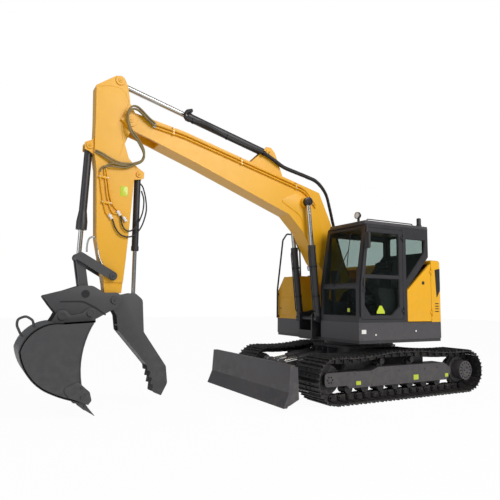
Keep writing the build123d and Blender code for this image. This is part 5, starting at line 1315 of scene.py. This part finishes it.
# %% Seat's shell and foot
SHELL = eased(((60, 1520, 20), (505, 1545, 20), (520, 1575, 20), (500, 1600, 20), (40, 1575, 30), (-10, 1680, 20),
               (-92, 2130, 20), (-110, 2260, 14), (-96, 2262, 8), (-70, 2130, 20), (20, 1620, 20)))
prisms("seat_pan", SHELL, SEAT_Y - 205, SEAT_Y + 205, seat_shell, "house", bevel=4)
fold = np.arange(11)
folds = np.stack([350.0 + 16 * (fold % 2), 1330 + 18 * fold], -1)
prisms("seat_bellows", np.vstack([folds, (folds * (-1, 1) + (400, 0))[::-1]]), SEAT_Y - 160, SEAT_Y + 160, rubber_and_painted_shade,
       "house")
slab("seat_plinth", rounded(340, 400, 20), (200, SEAT_Y, 1286.5), FORWARD, LEFT, 44, seat_shell, "house", bevel=4)
print("bellows folds", len(fold))

# %% [markdown]
# ## Blank plates
# Plates and signs stay blank, in the colours that the photograph shows. Each is a thin sheet that stands 1.5 to 2 mm
# proud of its wall: a patch of colour in the wall's own material would have no edge to catch light.

# %% Blank plates
for name, size, spot, film, body in (
        ("plate_track_1", (95, 60, 6), (841, 1125.5, 293), lime_film, "chassis"),
        ("plate_track_2", (115, 84, 6), (-422, 1125.5, 308), lime_film, "chassis"),
        ("plate_track_3", (80, 58, 6), (-1175, 1125.5, 300), lime_film, "chassis"),
        ("plate_skirt", (92, 64, 5), (815, 1237.5, 1093), white_film, "house")):
    slab(name, rounded(*size), spot, BACK, UP, 2, film, body, bevel=0.5)
slab("plate_screen", rounded(60, 60, 5), (897.5, 972, 1431), LEFT, UP, 1.5, lime_film, "house", bevel=0.4)
slab("plate_door", ((-86, -62), (86, -62), (86, -30), (24, 66), (-24, 66), (-86, -30)), (439, 1218.5, 1440), BACK, UP,
     1.5, lime_film, "cab_door", bevel=0.4)
slab("plate_arm", rounded(110, 150, 5), (4362, 25.5, 3160), BACK, UP, 1.5, lime_film, "arm", bevel=0.4)
turned("skirt_lamps", ((0, 0), (0, 16), (4, 14), (5, 0)), [(566, 1237.3, 1041), (-327, 1237.3, 1088)], LEFT, white_film,
       "house")
print("plates 7")

# %% [markdown]
# ## Bolts
# Final drives, idlers, track frames, skirt and side cutters are bolted on. Rings of bolts are spread by angle and
# rows by a list of places. A head hides its thread, so each ends at the wall.

# %% Bolts
for side, sign in SIDES:
    out = (0, sign, 0)
    bolts(f"drive_bolts_{side}", ring_spots((SPROCKET, sign * DRIVE_FACE, WHEEL_Z), 128, 14), out, 20, dark_steel,
          "chassis")
    bolts(f"drive_plugs_{side}", ring_spots((SPROCKET, sign * (DRIVE_FACE + 10), WHEEL_Z), 48, 3), out, 18, dark_steel,
          "chassis")
    bolts(f"idler_bolts_{side}", ring_spots((IDLER, sign * FRAME_FACE, WHEEL_Z), 46, 6), out, 18, dark_steel, "chassis")
    for row, z in (("upper", 440), ("lower", 250)):
        spots = [(x, sign * FRAME_FACE, z) for x in (1040, 900, 560, 260, -40, -340, -640, -940)]
        bolts(f"frame_bolts_{row}_{side}", spots, out, 16, charcoal_enamel, "chassis")
bolts("skirt_bolts", [(x, 1237, z) for x in (860, 420, -60, -520, -900) for z in (985, 1205)], LEFT, 13,
      charcoal_enamel, "house")
for name, sign in (("bucket_cutter_bolts", 1), ("bucket_cutter_bolts_right", -1)):
    bolts(name, [(x, DIG + sign * 466, z) for x, z in ((4905, 396), (4850, 300), (4905, 270))], (0, sign, 0), 26,
          tool_enamel, "bucket")

# %% [markdown]
# ## Floor
# The photograph is a cut-out on white. A wide pale floor takes the soft shadow. A lit floor alone would show its own
# shade of grey, so its surface is mostly plain white light to the camera and in mirrors, and a pale matt sheet to all
# other rays, which lights the machine from below as a real white floor does.

# %% Floor
HALF_FLOOR, WHITE_SHARE = 40, 0.96
floor_mesh = bpy.data.meshes.new("floor")
floor_mesh.from_pydata([(x * HALF_FLOOR, y * HALF_FLOOR, 0) for x, y in ((-1, -1), (1, -1), (1, 1), (-1, 1))], [],
                       [(0, 1, 2, 3)])
floor = bpy.data.objects.new("floor", floor_mesh)
bpy.context.scene.collection.objects.link(floor)
pale_floor, shader = new_material("pale_floor")
shader.inputs["Base Color"].default_value = (0.9, 0.9, 0.9, 1)
shader.inputs["Roughness"].default_value = 0.9
ray = add_node(pale_floor, "ShaderNodeLightPath")
seen = add_node(pale_floor, "ShaderNodeMath", {0: ray.outputs["Is Camera Ray"], 1: ray.outputs["Is Glossy Ray"]},
                operation="MAXIMUM")
seen_through = add_node(pale_floor, "ShaderNodeMath", {0: seen.outputs[0], 1: ray.outputs["Is Transmission Ray"]},
                        operation="MAXIMUM")
part_white = add_node(pale_floor, "ShaderNodeMath", {0: seen_through.outputs[0], 1: WHITE_SHARE},
                      operation="MULTIPLY")
white = add_node(pale_floor, "ShaderNodeEmission", {"Color": (1, 1, 1, 1), "Strength": 1.0})
mixed = add_node(pale_floor, "ShaderNodeMixShader",
                 {0: part_white.outputs[0], 1: shader.outputs[0], 2: white.outputs[0]})
join(pale_floor, mixed.outputs[0], surface_of(pale_floor))
floor_mesh.materials.append(pale_floor)
print("floor", 2 * HALF_FLOOR, "m wide")

# %% [markdown]
# ## Sky and lamps
# Beyond the floor the camera sees plain white, while all other rays meet a dim, slightly blue sky that fills the
# shadows. A broad soft lamp stands high on the machine's left, where the photograph's own light comes from, and a
# weaker one in front. A small lamp would draw hard shadows that a studio's softboxes don't.


# %% Sky and lamps
def area_lamp(name, spot, target, size, power, colour=(1, 1, 1)):
    """A square soft lamp of a given size in metres that faces a target."""
    data = bpy.data.lights.new(name, "AREA")
    data.size = size
    data.energy = power
    data.color = colour
    lamp = bpy.data.objects.new(name, data)
    bpy.context.scene.collection.objects.link(lamp)
    aim = (Vector(target) - Vector(spot)).to_track_quat("-Z", "Y")
    lamp.matrix_world = Matrix.Translation(Vector(spot)) @ aim.to_matrix().to_4x4()


FILL_STRENGTH, KEY_WATTS, FRONT_WATTS = 0.36, 1200, 200
world = bpy.data.worlds.new("sky")
bpy.context.scene.world = world
world.use_nodes = True
world.node_tree.nodes.clear()
ray = add_node(world, "ShaderNodeLightPath")
seen = add_node(world, "ShaderNodeMath", {0: ray.outputs["Is Camera Ray"], 1: ray.outputs["Is Transmission Ray"]},
                operation="MAXIMUM")
fill = add_node(world, "ShaderNodeBackground", {"Color": (0.93, 0.96, 1.0, 1), "Strength": FILL_STRENGTH})
backdrop = add_node(world, "ShaderNodeBackground", {"Color": (1, 1, 1, 1), "Strength": 1.0})
sky = add_node(world, "ShaderNodeMixShader", {0: seen.outputs[0], 1: fill.outputs[0], 2: backdrop.outputs[0]})
add_node(world, "ShaderNodeOutputWorld", {"Surface": sky.outputs[0]})
area_lamp("key", (-3.0, 11.0, 9.0), (0, 0, 1.5), 7.0, KEY_WATTS, (1.0, 0.97, 0.92))
area_lamp("front_fill", (12.0, 3.0, 5.0), (0, 0, 1.5), 6.0, FRONT_WATTS)
print("lamps", len(bpy.data.lights))
